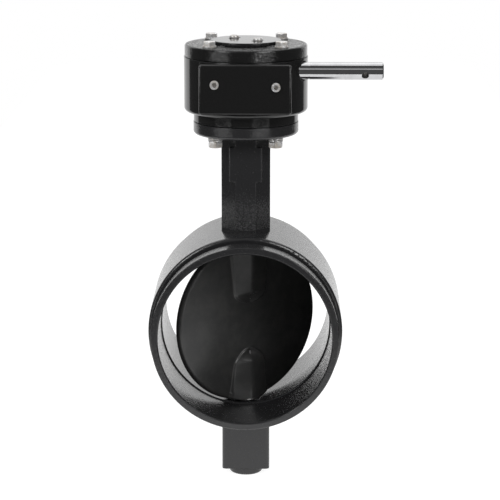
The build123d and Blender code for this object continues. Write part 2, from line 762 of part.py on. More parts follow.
with BuildPart() as gear_quadrant:
    cylinder_between(journal_r, base_bottom, arm_bottom)
    cylinder_between(lower_hub_r, cavity_floor + end_gap, arm_bottom)
    cylinder_between(wheel_root_r, arm_bottom, top_journal_start)
    cylinder_between(top_journal_r, top_journal_start, indicator_bottom)

    # thick back of the hub, around the keyway
    with BuildSketch(quadrant_plan.offset(arm_bottom)):
        Circle(quadrant_back_r)
        with BuildLine():
            Polyline((0, 0), (back_x, back_y), (back_x, back_reach))
            Polyline((back_x, back_reach), (-back_x, back_reach), (-back_x, back_y), (0, 0))
        make_face(mode=Mode.INTERSECT)
    extrude(amount=shaft_z + wheel_half - arm_bottom)

    # stop arms: each has a facet that meets its screw squarely at the end of the travel
    with BuildSketch(quadrant_plan.offset(arm_bottom)) as arm_plan:
        Rectangle(2 * arm_radius, 2 * arm_half)
        chamfer(arm_plan.vertices().sort_by(Axis.Y)[:2], arm_facet)
    extrude(amount=arm_top - arm_bottom)

    # teeth
    for tooth in range(-teeth_each_side, teeth_each_side + 1):
        add(quadrant_tooth.part.rotate(Axis.Z, tooth * 360 / wheel_teeth))

    # stem bore, keyway and the tapped holes of the indicator screws
    cylinder_between(stem_r + slip_gap, base_bottom, indicator_bottom, Mode.SUBTRACT)
    with BuildSketch(quadrant_plan.offset(base_bottom)):
        with Locations((0, key_middle + key_gap / 2)):
            Rectangle(key_width + 2 * slip_gap, key_height + key_gap)
    extrude(amount=key_top + key_gap - base_bottom, mode=Mode.SUBTRACT)
    with BuildSketch(Plane.XY.offset(indicator_bottom)):
        with PolarLocations(indicator_screw_pitch_r, 2, start_angle=indicator_screw_angle):
            Circle(plate_screw_r + slip_gap)
    extrude(amount=-pan_depth, mode=Mode.SUBTRACT)
gear_quadrant.part.label = "gear_quadrant"
export_step(gear_quadrant.part, "parts/gear_quadrant.step")

# ---- indicator ----------------------------------------------------------------------------

slot_arcs = []
for bearing in (indicator_screw_angle, indicator_screw_angle + 180):
    slot_start = bearing - indicator_slot_half
    slot_arcs.append(CenterArc((0, 0), indicator_screw_pitch_r, slot_start, 2 * indicator_slot_half))

with BuildPart() as indicator_plate:
    cylinder_between(indicator_r, indicator_bottom, indicator_top)
    fillet(indicator_plate.edges().sort_by(Axis.Z)[-1], indicator_round)
    with BuildSketch(Plane.XY.offset(indicator_bottom)):
        for slot_arc in slot_arcs:
            SlotArc(slot_arc, 2 * (plate_screw_r + washer_gap))
    extrude(amount=indicator, mode=Mode.SUBTRACT)
indicator_plate.part.label = "indicator_plate"
export_step(indicator_plate.part, "parts/indicator_plate.step")

indicator_screw = pan_screw()
with BuildPart() as indicator_screws:
    with Locations((0, 0, indicator_top)):
        with PolarLocations(indicator_screw_pitch_r, 2, start_angle=indicator_screw_angle):
            add(indicator_screw)
indicator_screws.part.label = "indicator_screws"
export_step(indicator_screws.part, "parts/indicator_screws.step")

# ---- input shaft and worm -----------------------------------------------------------------

cross_direction = Vector(0, -cos(radians(cross_hole_tilt)), -sin(radians(cross_hole_tilt)))
cross_plane = Plane((cross_hole_x, shaft_y, shaft_z), x_dir=(1, 0, 0), z_dir=cross_direction)
pin_plane = Plane((worm_pin_x, shaft_y, shaft_z))

with BuildPart() as input_shaft:
    cylinder_between(shaft_core_r, core_end, core_step, base=shaft_plane)
    cylinder_between(shaft_journal_r, core_step, shaft_step, base=shaft_plane)
    cylinder_between(shaft_r, shaft_step, shaft_end, base=shaft_plane)
    chamfer(input_shaft.edges().sort_by(Axis.X)[-1], shaft_chamfer)
    relief_end = relief_start + relief_width
    ring_between(shaft_r, shaft_r - relief_depth, relief_start, relief_end, Mode.SUBTRACT, shaft_plane)
    cylinder_between(cross_hole_r, -shaft_r, shaft_r, Mode.SUBTRACT, cross_plane)
    cylinder_between(worm_pin_r, -shaft_r, shaft_r, Mode.SUBTRACT, pin_plane)
input_shaft.part.label = "input_shaft"
export_step(input_shaft.part, "parts/input_shaft.step")

# Left-hand thread, so that turning the shaft clockwise closes the valve. The ridge starts at
# the height thread_start on the local X axis; the phase puts a gap of the thread over the
# middle tooth of the quadrant at the middle of the travel.
thread_phase = 180 - 360 * thread_start / thread_pitch + gear_ratio * turn_from_middle
ridge_half = thread_pitch / 4 - backlash
flank_slope = tan(radians(pressure_angle))
ridge_foot_r = worm_root_r - tooth_root_gap
ridge_foot_half = ridge_half + (worm_pitch_r - ridge_foot_r) * flank_slope
ridge_tip_half = ridge_half - (worm_tip_r - worm_pitch_r) * flank_slope

with BuildPart() as worm_thread:
    with BuildLine() as thread_path:
        thread_length = thread_end - thread_start
        Helix(thread_pitch, thread_length, worm_pitch_r, center=(0, 0, thread_start), lefthand=True)
    with BuildSketch(Plane.XZ) as ridge_section:
        with BuildLine():
            Polyline(
                (ridge_foot_r, thread_start - ridge_foot_half),
                (worm_tip_r, thread_start - ridge_tip_half),
                (worm_tip_r, thread_start + ridge_tip_half),
                (ridge_foot_r, thread_start + ridge_foot_half),
                close=True,
            )
        make_face()
    sweep(ridge_section.sketch, path=thread_path.line, is_frenet=True)

with BuildPart() as worm:
    add(worm_thread.part.rotate(Axis.Z, thread_phase).moved(shaft_plane.location))
    cylinder_between(worm_root_r, -worm_half, worm_half, base=shaft_plane)
    cylinder_between(shaft_core_r + slip_gap, -worm_half, worm_half, Mode.SUBTRACT, shaft_plane)
    cylinder_between(worm_pin_r, -worm_root_r, worm_root_r, Mode.SUBTRACT, pin_plane)
worm.part.label = "worm"
export_step(worm.part, "parts/worm.step")

with BuildPart() as worm_pin:
    cylinder_between(worm_pin_r - slip_gap, -worm_pin_half, worm_pin_half, base=pin_plane)
worm_pin.part.label = "worm_pin"
export_step(worm_pin.part, "parts/worm_pin.step")

with BuildPart() as worm_bushes:
    flange_start = web_start - web_bush_flange
    ring_between(web_bush_r, shaft_core_r + running_gap, web_start, web_start + web_thick, base=shaft_plane)
    ring_between(web_bush_flange_r, shaft_core_r + running_gap, flange_start, web_start, base=shaft_plane)
    mirror(about=Plane.YZ)
worm_bushes.part.label = "worm_bushes"
export_step(worm_bushes.part, "parts/worm_bushes.step")

seal_mid_r = shaft_journal_r + o_ring_gap + seal_section
seal_groove_r = seal_mid_r + seal_section + slip_gap
with BuildPart() as outer_bush:
    bush_outer = outer_bush_r - slip_gap
    bush_inner = shaft_journal_r + running_gap
    ring_between(bush_outer, bush_inner, outer_bush_start, outer_bush_end, base=shaft_plane)
    groove_start = seal_x - seal_groove_half
    groove_end = seal_x + seal_groove_half
    ring_between(seal_groove_r, bush_inner, groove_start, groove_end, Mode.SUBTRACT, shaft_plane)
outer_bush.part.label = "outer_bush"
export_step(outer_bush.part, "parts/outer_bush.step")

with BuildPart() as shaft_seal:
    with BuildSketch(Plane((0, shaft_y, shaft_z), x_dir=(1, 0, 0), z_dir=(0, -1, 0))):
        with Locations((seal_x, seal_mid_r)):
            Circle(seal_section)
    revolve(axis=shaft_axis)
shaft_seal.part.label = "shaft_seal"
export_step(shaft_seal.part, "parts/shaft_seal.step")

# ---- stop screws --------------------------------------------------------------------------

closed_stop = stop_screw(stop_closed_front - stop_tip)
open_stop = stop_screw(stop_open_front - stop_tip)

with BuildPart() as stop_screw_closed:
    with Locations(Plane((stop_x, -stop_tip, stop_closed_z), x_dir=(1, 0, 0), z_dir=(0, -1, 0))):
        add(closed_stop)
stop_screw_closed.part.label = "stop_screw_closed"
export_step(stop_screw_closed.part, "parts/stop_screw_closed.step")

with BuildPart() as stop_screw_open:
    with Locations(Plane((-stop_x, -stop_tip, stop_open_z), x_dir=(1, 0, 0), z_dir=(0, -1, 0))):
        add(open_stop)
stop_screw_open.part.label = "stop_screw_open"
export_step(stop_screw_open.part, "parts/stop_screw_open.step")
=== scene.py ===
# %% [markdown]
# # A butterfly valve with a worm gear operator
# The valve is a cast ring with a rubber covered disc inside it. A neck carries the stem up to a gearbox,
# and a bright input shaft sticks out of the gearbox to the right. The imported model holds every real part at
# its real place. This script gives the parts their looks, and finer meshes to the disc's rubber, the bolts
# and the washers. It loads the model first and keeps its box, because nothing added later may change the
# size of the valve.

import bpy
import bmesh
import json
from collections import namedtuple
from math import asin, atan2, copysign, cos, hypot, pi, radians, sin, sqrt, tan

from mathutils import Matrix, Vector


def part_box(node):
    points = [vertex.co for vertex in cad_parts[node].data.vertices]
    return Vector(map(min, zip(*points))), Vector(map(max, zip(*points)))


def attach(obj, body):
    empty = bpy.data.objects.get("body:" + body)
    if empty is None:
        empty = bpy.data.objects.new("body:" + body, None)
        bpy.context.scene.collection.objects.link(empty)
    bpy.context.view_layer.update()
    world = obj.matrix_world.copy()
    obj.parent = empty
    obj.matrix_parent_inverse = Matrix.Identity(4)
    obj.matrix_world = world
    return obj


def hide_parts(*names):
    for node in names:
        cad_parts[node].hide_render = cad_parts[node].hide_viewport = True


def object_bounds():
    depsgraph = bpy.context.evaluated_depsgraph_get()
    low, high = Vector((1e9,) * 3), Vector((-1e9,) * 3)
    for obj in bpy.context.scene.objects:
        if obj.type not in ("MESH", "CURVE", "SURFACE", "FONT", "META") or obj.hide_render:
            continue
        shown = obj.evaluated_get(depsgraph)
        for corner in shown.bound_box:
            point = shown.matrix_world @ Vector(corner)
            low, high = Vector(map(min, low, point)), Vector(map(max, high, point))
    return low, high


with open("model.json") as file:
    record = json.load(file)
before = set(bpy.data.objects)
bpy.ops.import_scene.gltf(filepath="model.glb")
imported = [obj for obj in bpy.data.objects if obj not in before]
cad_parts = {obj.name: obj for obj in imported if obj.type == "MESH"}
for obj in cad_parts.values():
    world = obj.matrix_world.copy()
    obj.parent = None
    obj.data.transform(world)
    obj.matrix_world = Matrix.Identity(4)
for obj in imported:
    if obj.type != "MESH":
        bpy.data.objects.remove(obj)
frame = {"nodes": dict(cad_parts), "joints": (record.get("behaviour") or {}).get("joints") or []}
cad_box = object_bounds()
MM = 0.001                   # one millimetre, in metres
scene = bpy.context.scene
scene.view_settings.view_transform = "Standard"
nodes = frame["nodes"]
joints = {joint["name"]: joint for joint in frame["joints"]}
print("nodes", len(nodes), "box in mm", [round((b - a) / MM, 1) for a, b in zip(*cad_box)])

# %% [markdown]
# ## The camera
# The valve is seen from the front, a little to the right of the pipe's axis and a little above it. A long
# lens from nearly two metres keeps the round ring round. The camera could be aimed with a constraint, but
# setting its angles straight away keeps the view the same whatever is added to the scene. The small
# sideways shift only frames the picture.

# %% Place the camera
CAMERA_DISTANCE = 1.805
CAMERA_HEIGHT_ANGLE = radians(15.04)
CAMERA_SIDE_ANGLE = radians(0.797)
CAMERA_PITCH = radians(13.02)
CAMERA_SHIFT = 0.00804       # as a share of the picture's width
LENS = 139.9                 # focal length in millimetres
SENSOR_WIDTH = 36.0

camera = bpy.data.objects.new("camera", bpy.data.cameras.new("camera"))
scene.collection.objects.link(camera)
scene.camera = camera
camera.data.lens = LENS
camera.data.sensor_width = SENSOR_WIDTH
camera.data.shift_x = CAMERA_SHIFT
camera.data.dof.use_dof = False
camera.location = CAMERA_DISTANCE * Vector((
    cos(CAMERA_HEIGHT_ANGLE) * sin(CAMERA_SIDE_ANGLE),
    -cos(CAMERA_HEIGHT_ANGLE) * cos(CAMERA_SIDE_ANGLE),
    sin(CAMERA_HEIGHT_ANGLE)))
camera.rotation_euler = (pi / 2 - CAMERA_PITCH, 0, CAMERA_SIDE_ANGLE)
print("camera at", [round(c, 3) for c in camera.location], "lens", LENS)

# %% [markdown]
# ## Small helpers for node trees
# Materials, the world and the Geometry Nodes trees are all graphs of nodes. Three short helpers keep the
# rest readable: one adds a node with its settings, one joins two sockets or writes a plain value, and one
# makes a line of arithmetic out of Math nodes.

# %% Helpers for nodes
def add(tree, kind, **settings):
    node = tree.nodes.new(kind)
    for name, value in settings.items():
        setattr(node, name, value)
    return node


def feed(tree, socket, value):
    """Joins an output to this input, or writes a number, colour or vector into it."""
    if isinstance(value, bpy.types.NodeSocket):
        tree.links.new(value, socket)
    else:
        socket.default_value = value


def maths(tree, operation, *values):
    node = add(tree, "ShaderNodeMath", operation=operation)
    for socket, value in zip(node.inputs, values):
        feed(tree, socket, value)
    return node.outputs[0]


print("helpers: add, feed, maths")

# %% [markdown]
# Two more come up again and again. A soft step turns a value into a mask without a hard edge, and a mix
# blends two colours by such a mask. The inputs of a Mix node share their names, so they are found by
# identifier.

# %% Helpers for masks and colours
def remap(tree, value, low, high, start=0.0, end=1.0):
    """A soft step: start while value is under low, end once it is over high."""
    node = add(tree, "ShaderNodeMapRange", interpolation_type="SMOOTHSTEP")
    for name, number in (("From Min", low), ("From Max", high), ("To Min", start), ("To Max", end)):
        feed(tree, node.inputs[name], number)
    feed(tree, node.inputs["Value"], value)
    return node.outputs["Result"]


def blend_colours(tree, share, first, second):
    node = add(tree, "ShaderNodeMix", data_type="RGBA")
    sockets = {socket.identifier: socket for socket in node.inputs}
    feed(tree, sockets["Factor_Float"], share)
    feed(tree, sockets["A_Color"], first)
    feed(tree, sockets["B_Color"], second)
    return next(socket for socket in node.outputs if socket.identifier == "Result_Color")


def grey(level):
    return (level, level, level, 1.0)


print("helpers: remap, blend_colours, grey")

# %% [markdown]
# ## The studio
# Black paint shows hardly any colour of its own. What gives a black valve its shape is what it mirrors: a
# white wall behind it, a dark room in front of it and a white table under it. The wall and the dark room
# are painted on the world by direction, which costs nothing to render. The camera itself sees plain white
# all round, and so does anything looked at through glass.

# %% Paint the world
WALL = 1.1                   # how bright the white wall behind the valve is
ROOM = 0.10                  # how bright the dark room in front of it is
WALL_LEFT = radians(-51)
WALL_RIGHT = radians(43)
WALL_EDGE = radians(3)       # half the width of the wall's soft edge
WALL_TOP = sin(radians(60))  # the lamp overhead takes over from here
WALL_FADE = 0.06


def paint_world():
    world = bpy.data.worlds.new("studio")
    scene.world = world
    world.use_nodes = True
    tree = world.node_tree
    tree.nodes.clear()
    direction = add(tree, "ShaderNodeSeparateXYZ")
    feed(tree, direction.inputs[0], add(tree, "ShaderNodeTexCoord").outputs["Generated"])
    side, away, up = direction.outputs
    turn = maths(tree, "ARCTAN2", side, away)
    from_left = remap(tree, turn, WALL_LEFT - WALL_EDGE, WALL_LEFT + WALL_EDGE)
    to_right = remap(tree, turn, WALL_RIGHT - WALL_EDGE, WALL_RIGHT + WALL_EDGE, 1.0, 0.0)
    under_lamp = remap(tree, up, WALL_TOP - WALL_FADE, WALL_TOP + WALL_FADE, 1.0, 0.0)
    wall = maths(tree, "MULTIPLY", maths(tree, "MULTIPLY", from_left, to_right), under_lamp)
    level = maths(tree, "ADD", maths(tree, "MULTIPLY", wall, WALL - ROOM), ROOM)
    path = add(tree, "ShaderNodeLightPath")
    seen = maths(tree, "MAXIMUM", path.outputs["Is Camera Ray"], path.outputs["Is Transmission Ray"])
    background = add(tree, "ShaderNodeBackground")
    feed(tree, background.inputs["Color"], blend_colours(tree, seen, level, grey(1.0)))
    feed(tree, add(tree, "ShaderNodeOutputWorld").inputs["Surface"], background.outputs[0])


paint_world()
print("world: wall", WALL, "room", ROOM)

# %% [markdown]
# ## The table
# The valve stands on a white table that ends half a metre in front of it. Its underside parts mirror that
# table, which is why the stub at the bottom is lighter than the neck at the top. A plain plane would do,
# but round corners keep hard lines out of the reflections.

# %% Lay the table
TABLE_FRONT = 0.52
TABLE_BACK = 3.0
TABLE_SIDE = 0.5
TABLE_CORNER = 0.2
CORNER_STEPS = 8


def rounded_sheet(name, front, back, half_width, corner, height):
    """A flat sheet with round corners, made as one polygon."""
    made = bmesh.new()
    corners = ((half_width, back), (-half_width, back), (-half_width, -front), (half_width, -front))
    points = []
    for index, (x, y) in enumerate(corners):
        centre = Vector((x - copysign(corner, x), y - copysign(corner, y), height))
        for step in range(CORNER_STEPS + 1):
            angle = pi / 2 * (index + step / CORNER_STEPS)
            points.append(made.verts.new(centre + corner * Vector((cos(angle), sin(angle), 0))))
    made.faces.new(points)
    mesh = bpy.data.meshes.new(name)
    made.to_mesh(mesh)
    made.free()
    sheet = bpy.data.objects.new(name, mesh)
    scene.collection.objects.link(sheet)
    return sheet


table = rounded_sheet("table", TABLE_FRONT, TABLE_BACK, TABLE_SIDE, TABLE_CORNER, cad_box[0].z)
print("table at z", round(cad_box[0].z / MM, 1), "mm")

# %% [markdown]
# One part of the table's white is light from the lamps, so it keeps the valve's soft shadow. The other
# part is a glow of its own, so it stays white without more light on the valve.

# %% Paint the table
TABLE_WHITE = 0.8
TABLE_GLOW = 0.62            # share of the table's look that is its own glow
GLOW_LEVEL = 1.45


def table_paint():
    material = bpy.data.materials.new("white_table")
    material.use_nodes = True
    tree = material.node_tree
    tree.nodes.clear()
    matt = add(tree, "ShaderNodeBsdfDiffuse")
    feed(tree, matt.inputs["Color"], grey(TABLE_WHITE))
    glow = add(tree, "ShaderNodeEmission")
    feed(tree, glow.inputs["Strength"], GLOW_LEVEL)
    mix = add(tree, "ShaderNodeMixShader")
    feed(tree, mix.inputs["Fac"], TABLE_GLOW)
    feed(tree, mix.inputs[1], matt.outputs[0])
    feed(tree, mix.inputs[2], glow.outputs[0])
    feed(tree, add(tree, "ShaderNodeOutputMaterial").inputs["Surface"], mix.outputs[0])
    return material


table.data.materials.append(table_paint())
print("table glow", TABLE_GLOW, "of level", GLOW_LEVEL)

# %% [markdown]
# ## The lamps
# A big soft lamp overhead lights the tops and the table. A weak one, high in front, is the light band that
# the shaft mirrors. Two more stand to the left and the right of the camera, above it. Flat upright faces
# mirror the dark room under them, but every rounded edge and every grain of the casting catches them. Low
# on both sides are two narrow panels. The round side of the gearbox's cover mirrors the upper one and the
# flange mirrors the lower one. All but the lamp overhead are placed by the direction that the valve sees
# them in, because a direction is all that a mirror cares about.

# %% Hang the lamps
OVERHEAD_PLACE = (0, 0.45, 2.0)
OVERHEAD_SIZE = (2.4, 1.7)
OVERHEAD_LEVEL = 1.2
LAMPS = (                    # name, turn to the right and rise in degrees, distance, width, height, level
    ("lamp_front_band", 0, 35, 2.0, 1.7, 0.4, 0.6),
    ("lamp_left", -46, 32, 2.2, 0.8, 0.8, 9.0),
    ("lamp_right", 38, 32, 2.2, 0.8, 0.8, 9.0),
    ("panel_high_left", -51, -1.9, 2.0, 1.3, 0.09, 3.8),
    ("panel_high_right", 33, -1.9, 2.0, 1.3, 0.09, 3.8),
    ("panel_low_left", -51, -7.5, 2.0, 1.3, 0.05, 2.8),
    ("panel_low_right", 33, -7.5, 2.0, 1.3, 0.05, 2.8),
)


def soft_lamp(name, place, target, width, height, level):
    """A rectangular soft lamp whose face shines at this level, where 1 is white."""
    data = bpy.data.lights.new(name, "AREA")
    data.shape = "RECTANGLE"
    data.size = width
    data.size_y = height
    data.energy = level * pi * width * height
    lamp = bpy.data.objects.new(name, data)
    scene.collection.objects.link(lamp)
    lamp.location = place
    aim = Vector(target) - Vector(place)
    lamp.rotation_euler = aim.to_track_quat("-Z", "Y").to_euler()
    lamp.visible_camera = False


def towards(turn, rise):
    """The direction that is turned from the front towards the right, and raised, by these angles."""
    return Vector((sin(turn) * cos(rise), -cos(turn) * cos(rise), sin(rise)))


middle = (cad_box[0] + cad_box[1]) / 2
soft_lamp("lamp_overhead", OVERHEAD_PLACE, middle, *OVERHEAD_SIZE, OVERHEAD_LEVEL)
for name, turn, rise, distance, width, height, level in LAMPS:
    place = middle + distance * towards(radians(turn), radians(rise))
    soft_lamp(name, place, middle, width, height, level)
print("lamps", 1 + len(LAMPS), "aimed at", [round(c / MM, 1) for c in middle], "mm")

# %% [markdown]
# ## Shared effects
# Several finishes need the same thing, so each such effect is one node group with named inputs, and a
# material only sets their values. The first is the skin of a casting under paint: sand grains from the
# mould, softened by the paint, and shallow waves about eight times as wide. It could be a picture wrapped
# round the casting, but a noise in Object coordinates needs no wrapping and has no seam.

# %% The skin of a casting
GRAIN_FROM, GRAIN_TO = 0.35, 0.75       # the part of the noise that stands up as a grain
WAVE_SHARE = 0.12            # the waves' scale, as a share of the grains' scale


def group(name, inputs, outputs):
    """A new shader node group with these named sockets. Returns the tree and its two end nodes."""
    tree = bpy.data.node_groups.new(name, "ShaderNodeTree")
    for socket, number in inputs:
        made = tree.interface.new_socket(socket, in_out="INPUT", socket_type="NodeSocketFloat")
        made.default_value = number
    for socket in outputs:
        tree.interface.new_socket(socket, in_out="OUTPUT", socket_type="NodeSocketFloat")
    return tree, add(tree, "NodeGroupInput"), add(tree, "NodeGroupOutput")


def noise(tree, place, scale, detail, roughness=0.5):
    node = add(tree, "ShaderNodeTexNoise")
    feed(tree, node.inputs["Vector"], place)
    feed(tree, node.inputs["Scale"], scale)
    feed(tree, node.inputs["Detail"], detail)
    feed(tree, node.inputs["Roughness"], roughness)
    return node.outputs["Fac"]


def make_cast_skin():
    """Height of a painted casting's surface, and a mask of its grains. Grain Size is in millimetres."""
    tree, given, made = group(
        "cast_skin",
        [("Grain Size", 1.6), ("Grain", 1.0), ("Waves", 0.4)],
        ["Height", "Grains"])
    place = add(tree, "ShaderNodeTexCoord").outputs["Object"]
    fine = maths(tree, "DIVIDE", 1.0 / MM, given.outputs["Grain Size"])
    bumps = remap(tree, noise(tree, place, fine, detail=3.0, roughness=0.6), GRAIN_FROM, GRAIN_TO)
    waves = noise(tree, place, maths(tree, "MULTIPLY", fine, WAVE_SHARE), detail=1.0)
    height = maths(
        tree, "ADD",
        maths(tree, "MULTIPLY", bumps, given.outputs["Grain"]),
        maths(tree, "MULTIPLY", waves, given.outputs["Waves"]))
    feed(tree, made.inputs["Height"], height)
    feed(tree, made.inputs["Grains"], bumps)
    return tree


CAST_SKIN = make_cast_skin()
print("group", CAST_SKIN.name, "with", len(CAST_SKIN.nodes), "nodes")

# %% [markdown]
# The second effect is for bare metal, which is never evenly clean. A dull film comes and goes in patches.
# The fine scratches are a noise that is stretched along X, the direction of the shaft.

# %% The film on bare metal
FILM_FROM, FILM_TO = 0.35, 0.7          # the part of the noise where the film grows


def make_metal_film():
    """A dull film in patches, and fine scratches. Both sizes are in millimetres."""
    tree, given, made = group(
        "metal_film",
        [("Patch Size", 6.0), ("Scratch Size", 0.4), ("Stretch", 0.05)],
        ["Film", "Scratches"])
    place = add(tree, "ShaderNodeTexCoord").outputs["Object"]
    patches = maths(tree, "DIVIDE", 1.0 / MM, given.outputs["Patch Size"])
    film = noise(tree, place, patches, detail=4.0, roughness=0.6)
    stretched = add(tree, "ShaderNodeMapping", vector_type="TEXTURE")
    feed(tree, stretched.inputs["Vector"], place)
    lengths = add(tree, "ShaderNodeCombineXYZ")
    feed(tree, lengths.inputs["X"], maths(tree, "DIVIDE", 1.0, given.outputs["Stretch"]))
    feed(tree, lengths.inputs["Y"], 1.0)
    feed(tree, lengths.inputs["Z"], 1.0)
    feed(tree, stretched.inputs["Scale"], lengths.outputs[0])
    fine = maths(tree, "DIVIDE", 1.0 / MM, given.outputs["Scratch Size"])
    scratches = noise(tree, stretched.outputs[0], fine, detail=2.0, roughness=0.7)
    feed(tree, made.inputs["Film"], remap(tree, film, FILM_FROM, FILM_TO))
    feed(tree, made.inputs["Scratches"], scratches)
    return tree


METAL_FILM = make_metal_film()
print("group", METAL_FILM.name, "with", len(METAL_FILM.nodes), "nodes")

# %% [markdown]
# Every finish starts from a Principled BSDF, and its bumps go in through a Bump node. Under them, a Bevel
# node makes each sharp edge look rounded without one extra face. That thin round is what draws a light
# line along the edges of black paint.

# %% Helpers for a finish
EDGE_SAMPLES = 4             # how many rays look for an edge near each point


def new_finish(name):
    material = bpy.data.materials.new(name)
    material.use_nodes = True
    return material, material.node_tree, material.node_tree.nodes["Principled BSDF"]


def placed(tree, shared, **values):
    """Puts a shared effect into a material with its own values."""
    node = add(tree, "ShaderNodeGroup", node_tree=shared)
    for name, value in values.items():
        feed(tree, node.inputs[name.replace("_", " ")], value)
    return node


def bumped(tree, shader, height, depth, edge):
    """Bumps of this depth, over edges rounded by this radius, both in millimetres."""
    bump = add(tree, "ShaderNodeBump")
    feed(tree, bump.inputs["Distance"], depth * MM)
    feed(tree, bump.inputs["Height"], height)
    soft_edge = add(tree, "ShaderNodeBevel", samples=EDGE_SAMPLES)
    feed(tree, soft_edge.inputs["Radius"], edge * MM)
    feed(tree, bump.inputs["Normal"], soft_edge.outputs[0])
    feed(tree, shader.inputs["Normal"], bump.outputs[0])


print("helpers: new_finish, placed, bumped")

# %% [markdown]
# ## The paint on the castings
# The body, the gearbox and its cover are iron castings under black paint. The mould's grain shows through
# the body's paint, most of all at the foot of the neck. The gearbox is smoother and glossier, and on top
# of its cover the paint lies thick and uneven. A mask says where a casting is coarser. It is made from
# Object coordinates, which are the valve's own metres and stay put when a piece turns.

# %% Masks for the coarse places
NECK_SAND_TOP = 128 * MM     # the mould's sand shows more and more from here down to the ring
NECK_SAND_FULL = 96 * MM
NECK_HALF = 24 * MM
RING_TOP = 88.5 * MM
COVER_TOP_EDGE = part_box("cover_washers")[0].z - 0.3 * MM      # the washers lie on the cover's top


def own_place(tree):
    """Where a point lies on the piece, as outputs X, Y and Z."""
    place = add(tree, "ShaderNodeSeparateXYZ")
    feed(tree, place.inputs[0], add(tree, "ShaderNodeTexCoord").outputs["Object"])
    return place.outputs


def neck_sand(tree):
    """1 at the foot of the neck, fading to 0 further up and everywhere else."""
    place = own_place(tree)
    on_neck = maths(
        tree, "MULTIPLY",
        maths(tree, "LESS_THAN", maths(tree, "ABSOLUTE", place["X"]), NECK_HALF),
        maths(tree, "GREATER_THAN", place["Z"], RING_TOP))
    fade = remap(tree, place["Z"], NECK_SAND_FULL, NECK_SAND_TOP, 1.0, 0.0)
    return maths(tree, "MULTIPLY", on_neck, fade)


def cover_top(tree):
    """1 on the top face of the cover and 0 on its side."""
    return maths(tree, "GREATER_THAN", own_place(tree)["Z"], COVER_TOP_EDGE)


print("the cover's top face starts at z", round(COVER_TOP_EDGE / MM, 1), "mm")

# %% [markdown]
# Each paint could be a graph of its own. They are one recipe with different values instead, so that it is
# plain how they differ: the colour, how rough it is between the grains and on them, and the skin's relief.

# %% Recipe for painted castings
PAINT_IOR = 1.55
COARSE_ROUGH = 0.30          # how much rougher the grains are where the casting is coarse


def painted_casting(name, colour, rough, rough_grains, grain_size, grain, waves, depth, edge,
                    coarse=None, sand=0.0):
    material, tree, shader = new_finish(name)
    if coarse:
        here = coarse(tree)
        grain = maths(tree, "ADD", grain, maths(tree, "MULTIPLY", here, sand))
        rough_grains = maths(tree, "ADD", rough_grains, maths(tree, "MULTIPLY", here, COARSE_ROUGH))
    skin = placed(tree, CAST_SKIN, Grain_Size=grain_size, Grain=grain, Waves=waves)
    feed(tree, shader.inputs["Base Color"], colour)
    feed(tree, shader.inputs["Roughness"],
         maths(tree, "ADD", rough, maths(tree, "MULTIPLY", skin.outputs["Grains"], rough_grains)))
    feed(tree, shader.inputs["IOR"], PAINT_IOR)
    bumped(tree, shader, skin.outputs["Height"], depth, edge)
    return material


BODY_PAINT = painted_casting(
    "body_paint", (0.019, 0.019, 0.020, 1), rough=0.12, rough_grains=0.17, grain_size=1.5, grain=0.8,
    waves=1.2, depth=0.06, edge=1.1, coarse=neck_sand, sand=6.0)
GEARBOX_PAINT = painted_casting(
    "gearbox_paint", grey(0.008), rough=0.06, rough_grains=0.05, grain_size=1.6, grain=0.15,
    waves=1.6, depth=0.04, edge=0.6)
COVER_PAINT = painted_casting(
    "cover_paint", grey(0.008), rough=0.08, rough_grains=0.06, grain_size=2.2, grain=0.5,
    waves=3.0, depth=0.16, edge=0.6, coarse=cover_top, sand=5.0)
print("paints", BODY_PAINT.name, GEARBOX_PAINT.name, COVER_PAINT.name)

# %% [markdown]
# ## Bare metal
# The bolts are zinc plated steel, which is bright but never a clean mirror. The shaft is ground and hard
# chromed, so it is one. Inside are plain steel, grey iron and bronze, which nobody sees until the valve
# is taken apart. They are one recipe again, and differ in colour, in roughness and in how much rougher
# the film is. Zinc also shows its scratches, and is only partly metallic, because a dull film covers it.

# %% Recipe for bare metal
SCRATCHED_EDGE = 0.4         # radius of a plated edge, in millimetres


def bare_metal(name, colour, film_colour, rough, film_rough, patch, scratch_depth=0.0, bare=1.0):
    material, tree, shader = new_finish(name)
    film = placed(tree, METAL_FILM, Patch_Size=patch)
    feed(tree, shader.inputs["Base Color"],
         blend_colours(tree, film.outputs["Film"], colour, film_colour))
    feed(tree, shader.inputs["Roughness"],
         maths(tree, "ADD", rough, maths(tree, "MULTIPLY", film.outputs["Film"], film_rough)))
    feed(tree, shader.inputs["Metallic"], bare)
    if scratch_depth:
        bumped(tree, shader, film.outputs["Scratches"], scratch_depth, SCRATCHED_EDGE)
    return material


ZINC = bare_metal("zinc_steel", (0.72, 0.72, 0.725, 1), (0.52, 0.48, 0.43, 1),
                  rough=0.26, film_rough=0.16, patch=5.0, scratch_depth=0.004, bare=0.55)
CHROME = bare_metal("chrome", (0.56, 0.56, 0.57, 1), (0.50, 0.50, 0.51, 1),
                    rough=0.07, film_rough=0.04, patch=9.0)
STEEL = bare_metal("stem_steel", (0.52, 0.51, 0.50, 1), (0.40, 0.39, 0.38, 1),
                   rough=0.30, film_rough=0.15, patch=8.0)
IRON = bare_metal("cast_iron", (0.26, 0.26, 0.27, 1), (0.20, 0.19, 0.19, 1),
                  rough=0.48, film_rough=0.14, patch=3.0)
BRONZE = bare_metal("bearing_bronze", (0.55, 0.36, 0.16, 1), (0.42, 0.26, 0.11, 1),
                    rough=0.32, film_rough=0.15, patch=6.0)
print("metals", [m.name for m in (ZINC, CHROME, STEEL, IRON, BRONZE)])

